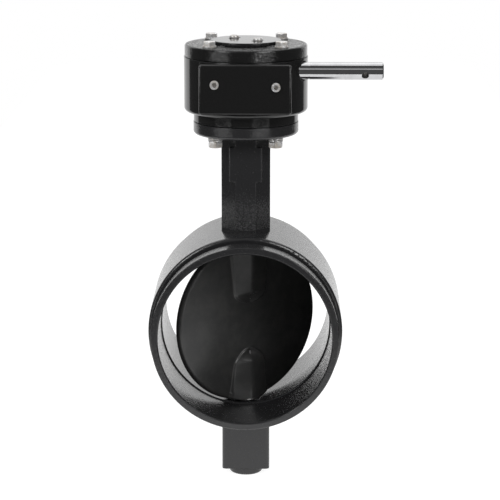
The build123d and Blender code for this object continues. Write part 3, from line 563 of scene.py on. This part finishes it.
# %% [markdown]
# The shaft has a cross hole for the pin of a handwheel. Chrome hardly gets into a narrow hole, so its wall
# stays rough, and its colour is made dark as painted shade inside the hole. The wall could have a material of
# its own, but its faces belong to the imported mesh, which is never changed. A mask does it as well: near the
# hole, and closer to the axis than the chrome.

# %% The cross hole in the shaft
SHAFT_AXIS = Vector(joints["input_turn"]["pos_m"])
SHAFT_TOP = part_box("input_shaft")[1]    # the corner of its box that is right, back and up
SHAFT_R = SHAFT_TOP.z - SHAFT_AXIS.z
HOLE_FROM_END = 16.3 * MM
HOLE_X = SHAFT_TOP.x - HOLE_FROM_END
HOLE_HALF = 4 * MM
PLATING_END = 0.25 * MM      # the plating reaches this far into the hole
# painted shade: the hole's wall gets this dark colour for the shade inside the hole, while its roughness is
# the real unplated wall
HOLE_SHADE_COLOUR = (0.10, 0.095, 0.09, 1)
HOLE_ROUGH = 0.5


def dull_and_shade_hole(material):
    tree = material.node_tree
    shader = tree.nodes["Principled BSDF"]
    from_axis = add(tree, "ShaderNodeVectorMath", operation="SUBTRACT")
    feed(tree, from_axis.inputs[0], add(tree, "ShaderNodeTexCoord").outputs["Object"])
    feed(tree, from_axis.inputs[1], (HOLE_X, SHAFT_AXIS.y, SHAFT_AXIS.z))
    parts = add(tree, "ShaderNodeSeparateXYZ")
    feed(tree, parts.inputs[0], from_axis.outputs[0])
    along, across, up = parts.outputs
    radius = maths(tree, "SQRT", maths(
        tree, "ADD", maths(tree, "MULTIPLY", across, across), maths(tree, "MULTIPLY", up, up)))
    inside = maths(
        tree, "MULTIPLY",
        maths(tree, "LESS_THAN", maths(tree, "ABSOLUTE", along), HOLE_HALF),
        maths(tree, "LESS_THAN", radius, SHAFT_R - PLATING_END))
    for name, bare in (("Base Color", HOLE_SHADE_COLOUR), ("Roughness", grey(HOLE_ROUGH))):
        plated = shader.inputs[name].links[0].from_socket
        feed(tree, shader.inputs[name], blend_colours(tree, inside, plated, bare))


dull_and_shade_hole(CHROME)
print("shaft radius", round(SHAFT_R / MM, 2), "mm, hole at x", round(HOLE_X / MM, 1), "mm")

# %% [markdown]
# ## Rubber and the indicator plate
# The disc wears a skin of moulded black rubber, satin rather than matt, with the faint bloom that rubber
# grows. The seals are duller. The plate on top of the gearbox is gloss black. The bloom comes and goes in
# patches as a metal's film does, and the faint relief is a casting's skin with lower values, so the two
# shared effects serve here too.

# %% Rubber and plate
BLOOM_PATCH = 14.0           # in millimetres


def rubber(name, colour, bloom_colour, rough):
    material, tree, shader = new_finish(name)
    film = placed(tree, METAL_FILM, Patch_Size=BLOOM_PATCH)
    feed(tree, shader.inputs["Base Color"],
         blend_colours(tree, film.outputs["Film"], colour, bloom_colour))
    feed(tree, shader.inputs["Roughness"], rough)
    skin = placed(tree, CAST_SKIN, Grain_Size=0.8, Grain=0.5, Waves=0.6)
    bumped(tree, shader, skin.outputs["Height"], depth=0.012, edge=1.2)
    return material


def gloss_plate(name, colour, rough):
    material, tree, shader = new_finish(name)
    feed(tree, shader.inputs["Base Color"], colour)
    feed(tree, shader.inputs["Roughness"], rough)
    skin = placed(tree, CAST_SKIN, Grain_Size=2.5, Grain=0.3, Waves=1.0)
    bumped(tree, shader, skin.outputs["Height"], depth=0.006, edge=0.4)
    return material


DISC_RUBBER = rubber("disc_rubber", grey(0.026), (0.034, 0.034, 0.033, 1), rough=0.27)
SEAL_RUBBER = rubber("seal_rubber", grey(0.018), grey(0.022), rough=0.55)
PLATE_BLACK = gloss_plate("indicator_black", (0.014, 0.014, 0.015, 1), rough=0.12)
print("rubber", DISC_RUBBER.name, SEAL_RUBBER.name, "plate", PLATE_BLACK.name)

# %% [markdown]
# ## Every part gets its finish
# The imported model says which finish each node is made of, as a named slot. A plain list from slot to
# material keeps the two in step, and a node whose slot is unknown stops the script, so that no part is
# left without a finish by accident. Only the cover differs from the list: it is gearbox paint too, but
# has the uneven one.

# %% Dress the nodes
FINISHES = {
    "body_paint": BODY_PAINT, "gearbox_paint": GEARBOX_PAINT, "disc_rubber": DISC_RUBBER,
    "seal_rubber": SEAL_RUBBER, "cast_iron": IRON, "stem_steel": STEEL, "bearing_bronze": BRONZE,
    "zinc_steel": ZINC, "chrome": CHROME, "indicator_black": PLATE_BLACK,
}
for node in nodes.values():
    slot_name = node.material_slots[0].material.name.split(".")[0]
    node.material_slots[0].link = "OBJECT"
    node.material_slots[0].material = FINISHES[slot_name]
nodes["gearbox_cover"].material_slots[0].material = COVER_PAINT
print("dressed", len(nodes), "nodes")

# %% [markdown]
# ## The rubber skin of the disc
# Rubber is moulded over the iron disc in one piece, so every form flows into the next: a slightly domed
# plate, a rounded rim, and a hub at the top and the bottom that swells round the stem. The skin could be
# smoothed from the plain solid, but a height rule gives a cleaner mesh: for each point of the disc's face
# it says how thick the rubber stands there. Both faces use the same rule, so the skin closes at the rim.
# The rule starts with the plate, which thins from the middle to the rim and ends in a round.

# %% Sizes of the disc
OPENING = -radians(joints["disc_turn"]["range_deg"][0])       # the disc stands this far open at rest
ACROSS = Vector((cos(OPENING), sin(OPENING), 0))              # along the disc, to the right
FACING = Vector((sin(OPENING), -cos(OPENING), 0))             # straight out of its front face
HUB_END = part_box("disc_rubber")[1].z
DISC_R = HUB_END + 0.6 * MM  # the hubs end in a flat, just inside the rim
RIM_HALF = 4.0 * MM          # half the thickness where the rim's round begins
RIM_ROUND = 5.0 * MM         # radius of that round
RIM_EDGE = 0.7 * MM          # softness of the edge between face and rim
MIDDLE_HALF = 6.5 * MM       # half the thickness in the middle


def soft_min(a, b, softness):
    return min(a, b) - max(softness - abs(a - b), 0.0) ** 2 / (4 * softness)


def under_circle(radius, distance):
    return sqrt(max(radius * radius - distance * distance, 0.0))


def plate_half(radius):
    face = MIDDLE_HALF - (MIDDLE_HALF - RIM_HALF) * (radius / DISC_R) ** 2
    past = radius - (DISC_R - RIM_ROUND)
    rim = under_circle(RIM_ROUND, past) if past > 0 else RIM_ROUND - past
    return soft_min(face, rim, RIM_EDGE)


print("disc radius", round(DISC_R / MM, 1), "mm, open by", round(OPENING / radians(1)), "degrees, half",
      round(plate_half(0) / MM, 2), "mm thick in the middle")

# %% [markdown]
# A low pad with a soft edge lies round each hub. Its outline is straight at the rim and closes in a round
# tip towards the middle. The tip is a curve between an ellipse and a diamond, and the roundness says which
# of them it is closer to.

# %% The pads round the hubs
PAD_STEP = 1.7 * MM          # the pad round each hub stands this far over the plate
PAD_EDGE = 1.2 * MM          # width of its soft edge
PAD_WAIST = 17.8 * MM        # half the pad's width at the waist and at the rim
PAD_END = 21.8 * MM

Hub = namedtuple("Hub", "tip waist full roundness")
HUBS = {                     # above and below: where the tip, the waist and the full width are
    1: Hub(tip=16.5 * MM, waist=26.4 * MM, full=27.5 * MM, roundness=1.8),
    -1: Hub(tip=25.5 * MM, waist=37.0 * MM, full=42.0 * MM, roundness=1.6),
}


def pad_side(along, full):
    """Half the pad's width, without its round tip."""
    return PAD_WAIST + (PAD_END - PAD_WAIST) * max(along - full, 0.0) / (HUB_END - full)


def pad_half(along, hub):
    """Half the pad's width at this height, down to nothing at its tip."""
    towards_tip = min(max(hub.full - along, 0.0) / (hub.full - hub.tip), 1.0)
    return pad_side(along, hub.full) * (1 - towards_tip ** hub.roundness) ** (1 / hub.roundness)


def pad_depth(side, along, hub):
    """How far this point lies inside the pad's outline, negative when it is outside."""
    half = pad_side(along, hub.full)
    length = hub.full - hub.tip
    power = hub.roundness
    across = abs(side) / half
    towards_tip = max(hub.full - along, 0.0) / length
    inside = 1 - across ** power - towards_tip ** power
    slope = hypot(across ** (power - 1) / half, towards_tip ** (power - 1) / length)
    return inside / max(power * slope, 1.0)


print("pads' tips at", [round(hub.tip / MM, 1) for hub in HUBS.values()], "mm from the middle")

# %% [markdown]
# The hub itself is a round bar that narrows towards the middle of the disc and dips into it behind a
# shoulder, and a soft minimum joins the two as a mould's radius does. The bar's flanks run straight down to
# the pad's edge.

# %% The hubs
WAIST_R = 10.7 * MM          # the bar's radius at the waist, before the shoulder softens it
HUB_R = 12.5 * MM            # its radius at the outer end, before the flare
HUB_FLARE = 0.9 * MM         # the hub grows by this much over its last stretch
FLARE_LENGTH = 2.2 * MM
DOME_DROP = 2.6              # how steeply the hub dips behind its shoulder
DOME_HOLLOW = 1.7            # how much that slope eases off towards the tip
SHOULDER = 2.2 * MM          # softness of the shoulder


def ease(low, high, value):
    share = min(max((value - low) / (high - low), 0.0), 1.0)
    return share * share * (3 - 2 * share)


def hub_radius(along, hub, face):
    radius = WAIST_R + (HUB_R - WAIST_R) * (along - hub.waist) / (HUB_END - hub.waist)
    radius += HUB_FLARE * ease(HUB_END - FLARE_LENGTH, HUB_END, along)
    back = (hub.waist - along) / (hub.waist - hub.tip)
    dome = face + (WAIST_R - face) * (1 - DOME_DROP * back + DOME_HOLLOW * max(back, 0.0) ** 2)
    return soft_min(radius, dome, SHOULDER)


def hub_height(side, along, hub, face):
    """Height over the disc's middle plane: the round bar, and beside it the straight flank."""
    radius = hub_radius(along, hub, face)
    foot, level = pad_half(along, hub), face + PAD_STEP
    reach = hypot(foot, level)
    if reach <= radius:
        return under_circle(radius, side)
    slope = asin(radius / reach) - atan2(level, foot)
    if side < radius * sin(slope):
        return under_circle(radius, side)
    return level + (foot - side) * tan(slope)


print("the hubs' radius at the waist",
      [round(hub_radius(hub.waist, hub, plate_half(hub.waist)) / MM, 2) for hub in HUBS.values()], "mm")

# %% [markdown]
# The height rule puts the three together. Outside the pads the rubber is as thick as the plate, inside
# them it rises to the hub, and at the rim it runs out under the disc's own circle.

# %% The height rule
FACE_EDGE = 0.8 * MM         # softness of the edge between the face and the rim


def rubber_half(side, up):
    """Half the thickness of the rubber at this point of the disc."""
    radius = hypot(side, up)
    if radius >= DISC_R:
        return 0.0
    face = plate_half(radius)
    height = face
    hub = HUBS[1 if up > 0 else -1]
    depth = pad_depth(side, abs(up), hub)
    if depth > 0:
        raised = hub_height(abs(side), abs(up), hub, face)
        height = face + (raised - face) * ease(0.0, PAD_EDGE, depth)
    return soft_min(height, under_circle(DISC_R, radius), FACE_EDGE)


print("half the rubber's thickness at the hubs' waists",
      [round(rubber_half(0, end * hub.waist) / MM, 2) for end, hub in HUBS.items()], "mm")

# %% [markdown]
# Each face is a grid, closest where the hubs are. A square grid would leave steps at the round rim, so
# every row spreads its points between the two ends of its own chord.

# %% The grid of a face
GRID_SHARE = 0.955           # the grid fills this share of the disc, and rings do the rest
ROW_STOPS = (0, (16 * MM, 1.6 * MM), (43 * MM, 0.5 * MM), (68 * MM, 1.25 * MM),
             (HUB_END * GRID_SHARE, 0.45 * MM))
HUB_GRID = 24 * MM           # half the width of the close part of a row
CLOSE_SHARE = 0.8            # but in a short row it is this share of it
CLOSE_STEPS = 52
OUTER_STEPS = 12


def spaced(stops):
    """Numbers from stop to stop, where each stop after the first also says how far apart they are."""
    values = [stops[0]]
    for stop, gap in stops[1:]:
        start = values[-1]
        count = round((stop - start) / gap)
        values += [start + (stop - start) * (step + 1) / count for step in range(count)]
    return values


def both_ways(half):
    return [-value for value in reversed(half[1:])] + half


def row_places(up):
    """The places of one row of the grid, from left to right."""
    chord = under_circle(DISC_R * GRID_SHARE, up)
    close = min(HUB_GRID, CLOSE_SHARE * chord)
    inner = [close * step / CLOSE_STEPS for step in range(CLOSE_STEPS + 1)]
    outer = [close + (chord - close) * step / OUTER_STEPS for step in range(1, OUTER_STEPS + 1)]
    return [(side, up) for side in both_ways(inner + outer)]


GRID = [row_places(up) for up in both_ways(spaced(ROW_STOPS))]
GRID_OUTLINE = (GRID[0] + [row[-1] for row in GRID[1:]] + GRID[-1][-2::-1]
                + [row[0] for row in GRID[-2:0:-1]])
print("grid", len(GRID), "rows of", len(GRID[0]), "places, outline", len(GRID_OUTLINE))

# %% [markdown]
# From the grid's outline, rings of faces go out to the rim, where the front and the back meet. At the two
# hubs the rim is cut flat, because the hub ends there against the body.

# %% The faces and the rim
RING_SHARES = (0.22, 0.38, 0.5, 0.6, 0.7, 0.8, 0.88, 0.95, 0.985, 1.0)


def stand(made, way, side, up):
    """A point of the front face, or of the back face when way is -1."""
    return made.verts.new(ACROSS * side + Vector((0, 0, up)) + FACING * way * rubber_half(side, up))


def join_rings(made, ring, wider):
    for index in range(len(ring)):
        made.faces.new([ring[index - 1], ring[index], wider[index], wider[index - 1]])


def widened(side, up, share):
    """A place on the grid's outline, moved outwards by this share of the way to the rim."""
    radius = hypot(side, up)
    edge = min(DISC_R, HUB_END * radius / max(abs(up), MM))
    scale = 1 + (edge - radius) / radius * share
    return side * scale, up * scale


def disc_face(made, way):
    """Adds one face of the disc and returns its rim."""
    points = {place: stand(made, way, *place) for row in GRID for place in row}
    for low, high in zip(GRID, GRID[1:]):
        for index in range(len(low) - 1):
            corners = (low[index], low[index + 1], high[index + 1], high[index])
            made.faces.new([points[place] for place in corners])
    ring = [points[place] for place in GRID_OUTLINE]
    for share in RING_SHARES:
        wider = [stand(made, way, *widened(side, up, share)) for side, up in GRID_OUTLINE]
        join_rings(made, ring, wider)
        ring = wider
    return ring


print("rings outside the grid", len(RING_SHARES))

# %% [markdown]
# The faces between the two rims close the skin. Round the disc the rims lie on each other, so there the
# doubled points are merged and those faces vanish, and only the hubs' flat ends keep them. Then the normals
# are recalculated, since the back was made with the front's order of points.

# %% Make the disc skin
MERGE_DISTANCE = 0.01 * MM
SLIVER = 0.001 * MM          # an edge shorter than this is dissolved


def disc_skin():
    made = bmesh.new()
    front = disc_face(made, 1)
    back = disc_face(made, -1)
    join_rings(made, front, back)
    bmesh.ops.remove_doubles(made, verts=made.verts, dist=MERGE_DISTANCE)
    bmesh.ops.dissolve_degenerate(made, dist=SLIVER, edges=made.edges)
    bmesh.ops.recalc_face_normals(made, faces=made.faces)
    mesh = bpy.data.meshes.new("disc_skin")
    made.to_mesh(mesh)
    made.free()
    mesh.polygons.foreach_set("use_smooth", [True] * len(mesh.polygons))
    skin = bpy.data.objects.new("disc_skin", mesh)
    scene.collection.objects.link(skin)
    return skin


skin = disc_skin()
skin.data.materials.append(DISC_RUBBER)
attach(skin, "disc_set")
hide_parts("disc_rubber")
print("disc skin faces", len(skin.data.polygons))

# %% [markdown]
# ## Bolts and washers
# Four bolts hold the gearbox on the neck and four hold its cover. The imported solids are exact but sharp.
# A forged head has a cone turned over its corners and a small round on every edge, and those are what
# glints. A bolt and a washer are both rings of points with faces between them, so they share helpers.

# %% Rings of points
SIDE_STEPS = 6               # points along each of the head's six sides
HEAD_CONE = radians(30)


def ring_of(made, places):
    return [made.verts.new(place) for place in places]


def skin_between(made, rings):
    for low, high in zip(rings, rings[1:]):
        join_rings(made, low, high)


def circle_places(radius, height, steps):
    angles = [2 * pi * step / steps for step in range(steps)]
    return [(radius * cos(angle), radius * sin(angle), height) for angle in angles]


def head_places(across, height, cone_from=None):
    """Points round a hexagon with flats to the sides. The corners drop where the cone has cut them."""
    places = []
    for step in range(6 * SIDE_STEPS):
        angle = 2 * pi * step / (6 * SIDE_STEPS)
        from_flat = (angle + pi / 6) % (pi / 3) - pi / 6
        radius = across / 2 / cos(from_flat)
        drop = max(radius - cone_from, 0.0) * tan(HEAD_CONE) if cone_from else 0.0
        places.append((radius * cos(angle), radius * sin(angle), height - drop))
    return places


print("points round a bolt's head", 6 * SIDE_STEPS)

# %% [markdown]
# One bolt is made as a template, from its tip up to the flat on its head. The edges could be rounded ring
# by ring, but a Bevel modifier rounds all that are sharp, also those that the cone leaves on the corners.

# %% A bolt
EDGE_ROUND = 0.22 * MM
ROUND_SEGMENTS = 2
SHARP_FROM = radians(25)     # an edge that bends more than this is rounded
HEAD_FLAT = 0.93             # width of the flat on top, as a share of the head's width
TIP_R = 0.8                  # radius and length of the shank's tip, as shares of the shank's radius
TIP_LENGTH = 0.3


def template(name, made):
    """An object with rounded edges, to be copied. It is removed once the copies are set."""
    bmesh.ops.recalc_face_normals(made, faces=made.faces)
    mesh = bpy.data.meshes.new(name)
    made.to_mesh(mesh)
    made.free()
    part = bpy.data.objects.new(name, mesh)
    scene.collection.objects.link(part)
    rounded = part.modifiers.new("edges", "BEVEL")
    rounded.width = EDGE_ROUND
    rounded.segments = ROUND_SEGMENTS
    rounded.limit_method = "ANGLE"
    rounded.angle_limit = SHARP_FROM
    rounded.harden_normals = True
    mesh.polygons.foreach_set("use_smooth", [True] * len(mesh.polygons))
    return part


def bolt_template(across, head, shank_r, shank):
    """A hexagon bolt that stands on its bearing face at height 0, with its shank pointing down."""
    steps = 6 * SIDE_STEPS
    flat_r = across / 2 * HEAD_FLAT
    made = bmesh.new()
    rings = [ring_of(made, places) for places in (
        circle_places(shank_r * TIP_R, -shank, steps),
        circle_places(shank_r, -shank + shank_r * TIP_LENGTH, steps),
        circle_places(shank_r, 0, steps),
        head_places(across, 0),
        head_places(across, head, flat_r),
        circle_places(flat_r, head, steps))]
    skin_between(made, rings)
    made.faces.new(rings[0])
    made.faces.new(rings[-1])
    return template("bolt", made)


print("edges rounded by", EDGE_ROUND / MM, "mm")

# %% [markdown]
# A plain washer is a flat ring, and its four rings of points close on themselves. A spring washer is a
# square bar bent round and cut through, with one end a little higher, so that it pushes back when the bolt
# is tightened. Its rings are the sections of that bar.

# %% Washers
TURNED_STEPS = 36
SPRING_GAP = radians(9)      # how wide the cut is
SPRING_LIFT = 0.3            # how much higher one end stands, as a share of the thickness


def washer_template(inner_r, outer_r, thickness):
    made = bmesh.new()
    section = ((inner_r, 0), (outer_r, 0), (outer_r, thickness), (inner_r, thickness))
    rings = [ring_of(made, circle_places(radius, height, TURNED_STEPS)) for radius, height in section]
    skin_between(made, rings + rings[:1])
    return template("washer", made)


def spring_template(inner_r, outer_r, thickness):
    made = bmesh.new()
    rings = []
    for step in range(TURNED_STEPS + 1):
        share = step / TURNED_STEPS
        angle = SPRING_GAP / 2 + (2 * pi - SPRING_GAP) * share
        low = thickness * SPRING_LIFT * share
        high = thickness * (1 - SPRING_LIFT * (1 - share))
        section = ((inner_r, low), (outer_r, low), (outer_r, high), (inner_r, high))
        rings.append(ring_of(made, [
            (radius * cos(angle), radius * sin(angle), height) for radius, height in section]))
    skin_between(made, rings)
    made.faces.new(rings[0])
    made.faces.new(rings[-1])
    return template("washer", made)


print("a washer has", TURNED_STEPS, "steps round")

# %% [markdown]
# The same part sits on every corner of a square, so Geometry Nodes place it: a circle with as many points
# as there are bolts, a copy on each point, and a small chance turn, because nobody stops a spanner at the
# same angle twice. The points and the turn come first.

# %% Where the copies stand
FIRST_BOLT = pi / 4          # halfway between the right and the back
CHANCE_SEED = 4


def points_in_circle(tree, given):
    circle = add(tree, "GeometryNodeMeshCircle")
    feed(tree, circle.inputs["Vertices"], given["Count"])
    feed(tree, circle.inputs["Radius"], given["Radius"])
    up = add(tree, "ShaderNodeCombineXYZ")
    feed(tree, up.inputs["Z"], given["Height"])
    raised = add(tree, "GeometryNodeTransform")
    feed(tree, raised.inputs["Geometry"], circle.outputs["Mesh"])
    feed(tree, raised.inputs["Translation"], up.outputs[0])
    feed(tree, raised.inputs["Rotation"], (0, 0, FIRST_BOLT))
    return raised.outputs[0]


def chance_turn(tree, given):
    chance = add(tree, "FunctionNodeRandomValue", data_type="FLOAT")
    least, most = [socket for socket in chance.inputs if socket.type == "VALUE"][:2]
    feed(tree, least, maths(tree, "MULTIPLY", given["Chance Turn"], -1.0))
    feed(tree, most, given["Chance Turn"])
    feed(tree, chance.inputs["Seed"], CHANCE_SEED)
    turn = add(tree, "ShaderNodeCombineXYZ")
    feed(tree, turn.inputs["X"], given["Tilt"])
    feed(tree, turn.inputs["Z"], next(socket for socket in chance.outputs if socket.type == "VALUE"))
    turned = add(tree, "FunctionNodeEulerToRotation")
    feed(tree, turned.inputs[0], turn.outputs[0])
    return turned.outputs[0]


print("first bolt at", round(FIRST_BOLT / radians(1)), "degrees")

# %% [markdown]
# The tree puts a copy of the part on each point. It ends by making the copies real and giving them their
# finish, because copies that are only instances are lost when the valve is exported.

# %% The tree that sets parts in a circle
SET_INPUTS = (("Part", "Object"), ("Count", "Int"), ("Radius", "Float"), ("Height", "Float"),
              ("Tilt", "Float"), ("Chance Turn", "Float"), ("Finish", "Material"))


def make_set_round():
    tree = bpy.data.node_groups.new("set_round", "GeometryNodeTree")
    for name, kind in SET_INPUTS:
        tree.interface.new_socket(name, in_out="INPUT", socket_type="NodeSocket" + kind)
    tree.interface.new_socket("Geometry", in_out="OUTPUT", socket_type="NodeSocketGeometry")
    given = add(tree, "NodeGroupInput").outputs
    part = add(tree, "GeometryNodeObjectInfo")
    feed(tree, part.inputs["Object"], given["Part"])
    copies = add(tree, "GeometryNodeInstanceOnPoints")
    feed(tree, copies.inputs["Points"], points_in_circle(tree, given))
    feed(tree, copies.inputs["Instance"], part.outputs["Geometry"])
    feed(tree, copies.inputs["Rotation"], chance_turn(tree, given))
    real = add(tree, "GeometryNodeRealizeInstances")
    feed(tree, real.inputs[0], copies.outputs[0])
    finish = add(tree, "GeometryNodeSetMaterial")
    feed(tree, finish.inputs["Geometry"], real.outputs[0])
    feed(tree, finish.inputs["Material"], given["Finish"])
    feed(tree, add(tree, "NodeGroupOutput").inputs[0], finish.outputs[0])
    return tree


SET_ROUND = make_set_round()
print("tree", SET_ROUND.name, "with", len(SET_ROUND.nodes), "nodes")

# %% [markdown]
# The tree's inputs are written by their sockets' identifiers, since a name may change or occur twice. The
# evaluated result becomes a plain mesh. Then the modifier and the template have done their work and go.

# %% Set a part round the valve
BOLT_COUNT = 4


def set_round(name, part, node, radius, height, tilt, chance):
    """Sets copies of a template on the valve in place of this node."""
    holder = bpy.data.objects.new(name, bpy.data.meshes.new(name))
    scene.collection.objects.link(holder)
    setter = holder.modifiers.new("set_round", "NODES")
    setter.node_group = SET_ROUND
    values = {"Part": part, "Count": BOLT_COUNT, "Radius": radius, "Height": height, "Tilt": tilt,
              "Chance Turn": chance, "Finish": ZINC}
    for item in SET_ROUND.interface.items_tree:
        if item.name in values:
            setter[item.identifier] = values[item.name]
    bpy.context.view_layer.update()
    evaluated = holder.evaluated_get(bpy.context.evaluated_depsgraph_get())
    mesh = bpy.data.meshes.new_from_object(evaluated)
    holder.modifiers.clear()
    holder.data = mesh
    mesh.name = name
    bpy.data.objects.remove(part)
    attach(holder, "valve")
    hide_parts(node)
    print(name, "faces", len(mesh.polygons), "radius", round(radius / MM, 2),
          "height", round(height / MM, 2))


def corner_of(node, half_width):
    """How far from the middle of the square a node's parts stand."""
    return (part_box(node)[1].x - half_width) * sqrt(2)


print("each set has", BOLT_COUNT, "parts")

# %% [markdown]
# The bolts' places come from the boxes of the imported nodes, so they follow the model. The flange bolts
# come from below, so they are tilted upside down. Each has a plain washer and a spring washer.

# %% Set the flange bolts and their washers
FLANGE_ACROSS = 12 * MM
FLANGE_HEAD = 5.3 * MM
FLANGE_SHANK_R = 3.95 * MM
FLANGE_CHANCE = radians(5)
HOLE_GAP = 0.25 * MM         # between a shank and its washer
WASHER_CHANCE = radians(150)            # a round washer may stop at any angle
UPRIGHT, UPSIDE_DOWN = 0.0, pi

low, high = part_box("flange_bolts")
flange_seat = low.z + FLANGE_HEAD
flange_radius = corner_of("flange_bolts", FLANGE_ACROSS / 2)
bolt = bolt_template(FLANGE_ACROSS, FLANGE_HEAD, FLANGE_SHANK_R, high.z - flange_seat)
set_round("flange_bolt_set", bolt, "flange_bolts", flange_radius, flange_seat, UPSIDE_DOWN, FLANGE_CHANCE)
for name, node, make in (("flange_washer_set", "flange_washers", washer_template),
                         ("spring_washer_set", "spring_washers", spring_template)):
    low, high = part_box(node)
    washer = make(FLANGE_SHANK_R + HOLE_GAP, high.x - flange_radius / sqrt(2), high.z - low.z)
    set_round(name, washer, node, flange_radius, low.z, UPRIGHT, WASHER_CHANCE)

# %% [markdown]
# The cover's bolts are one size smaller, stand upright and have one plain washer each.

# %% Set the cover bolts and their washers
COVER_ACROSS = 10 * MM
COVER_HEAD = 4.0 * MM
COVER_SHANK_R = 2.95 * MM
COVER_CHANCE = radians(8)

low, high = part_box("cover_bolts")
cover_seat = high.z - COVER_HEAD
cover_radius = corner_of("cover_bolts", COVER_ACROSS / 2)
bolt = bolt_template(COVER_ACROSS, COVER_HEAD, COVER_SHANK_R, cover_seat - low.z)
set_round("cover_bolt_set", bolt, "cover_bolts", cover_radius, cover_seat, UPRIGHT, COVER_CHANCE)
low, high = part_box("cover_washers")
washer = washer_template(COVER_SHANK_R + HOLE_GAP, high.x - cover_radius / sqrt(2), high.z - low.z)
set_round("cover_washer_set", washer, "cover_washers", cover_radius, low.z, UPRIGHT, WASHER_CHANCE)
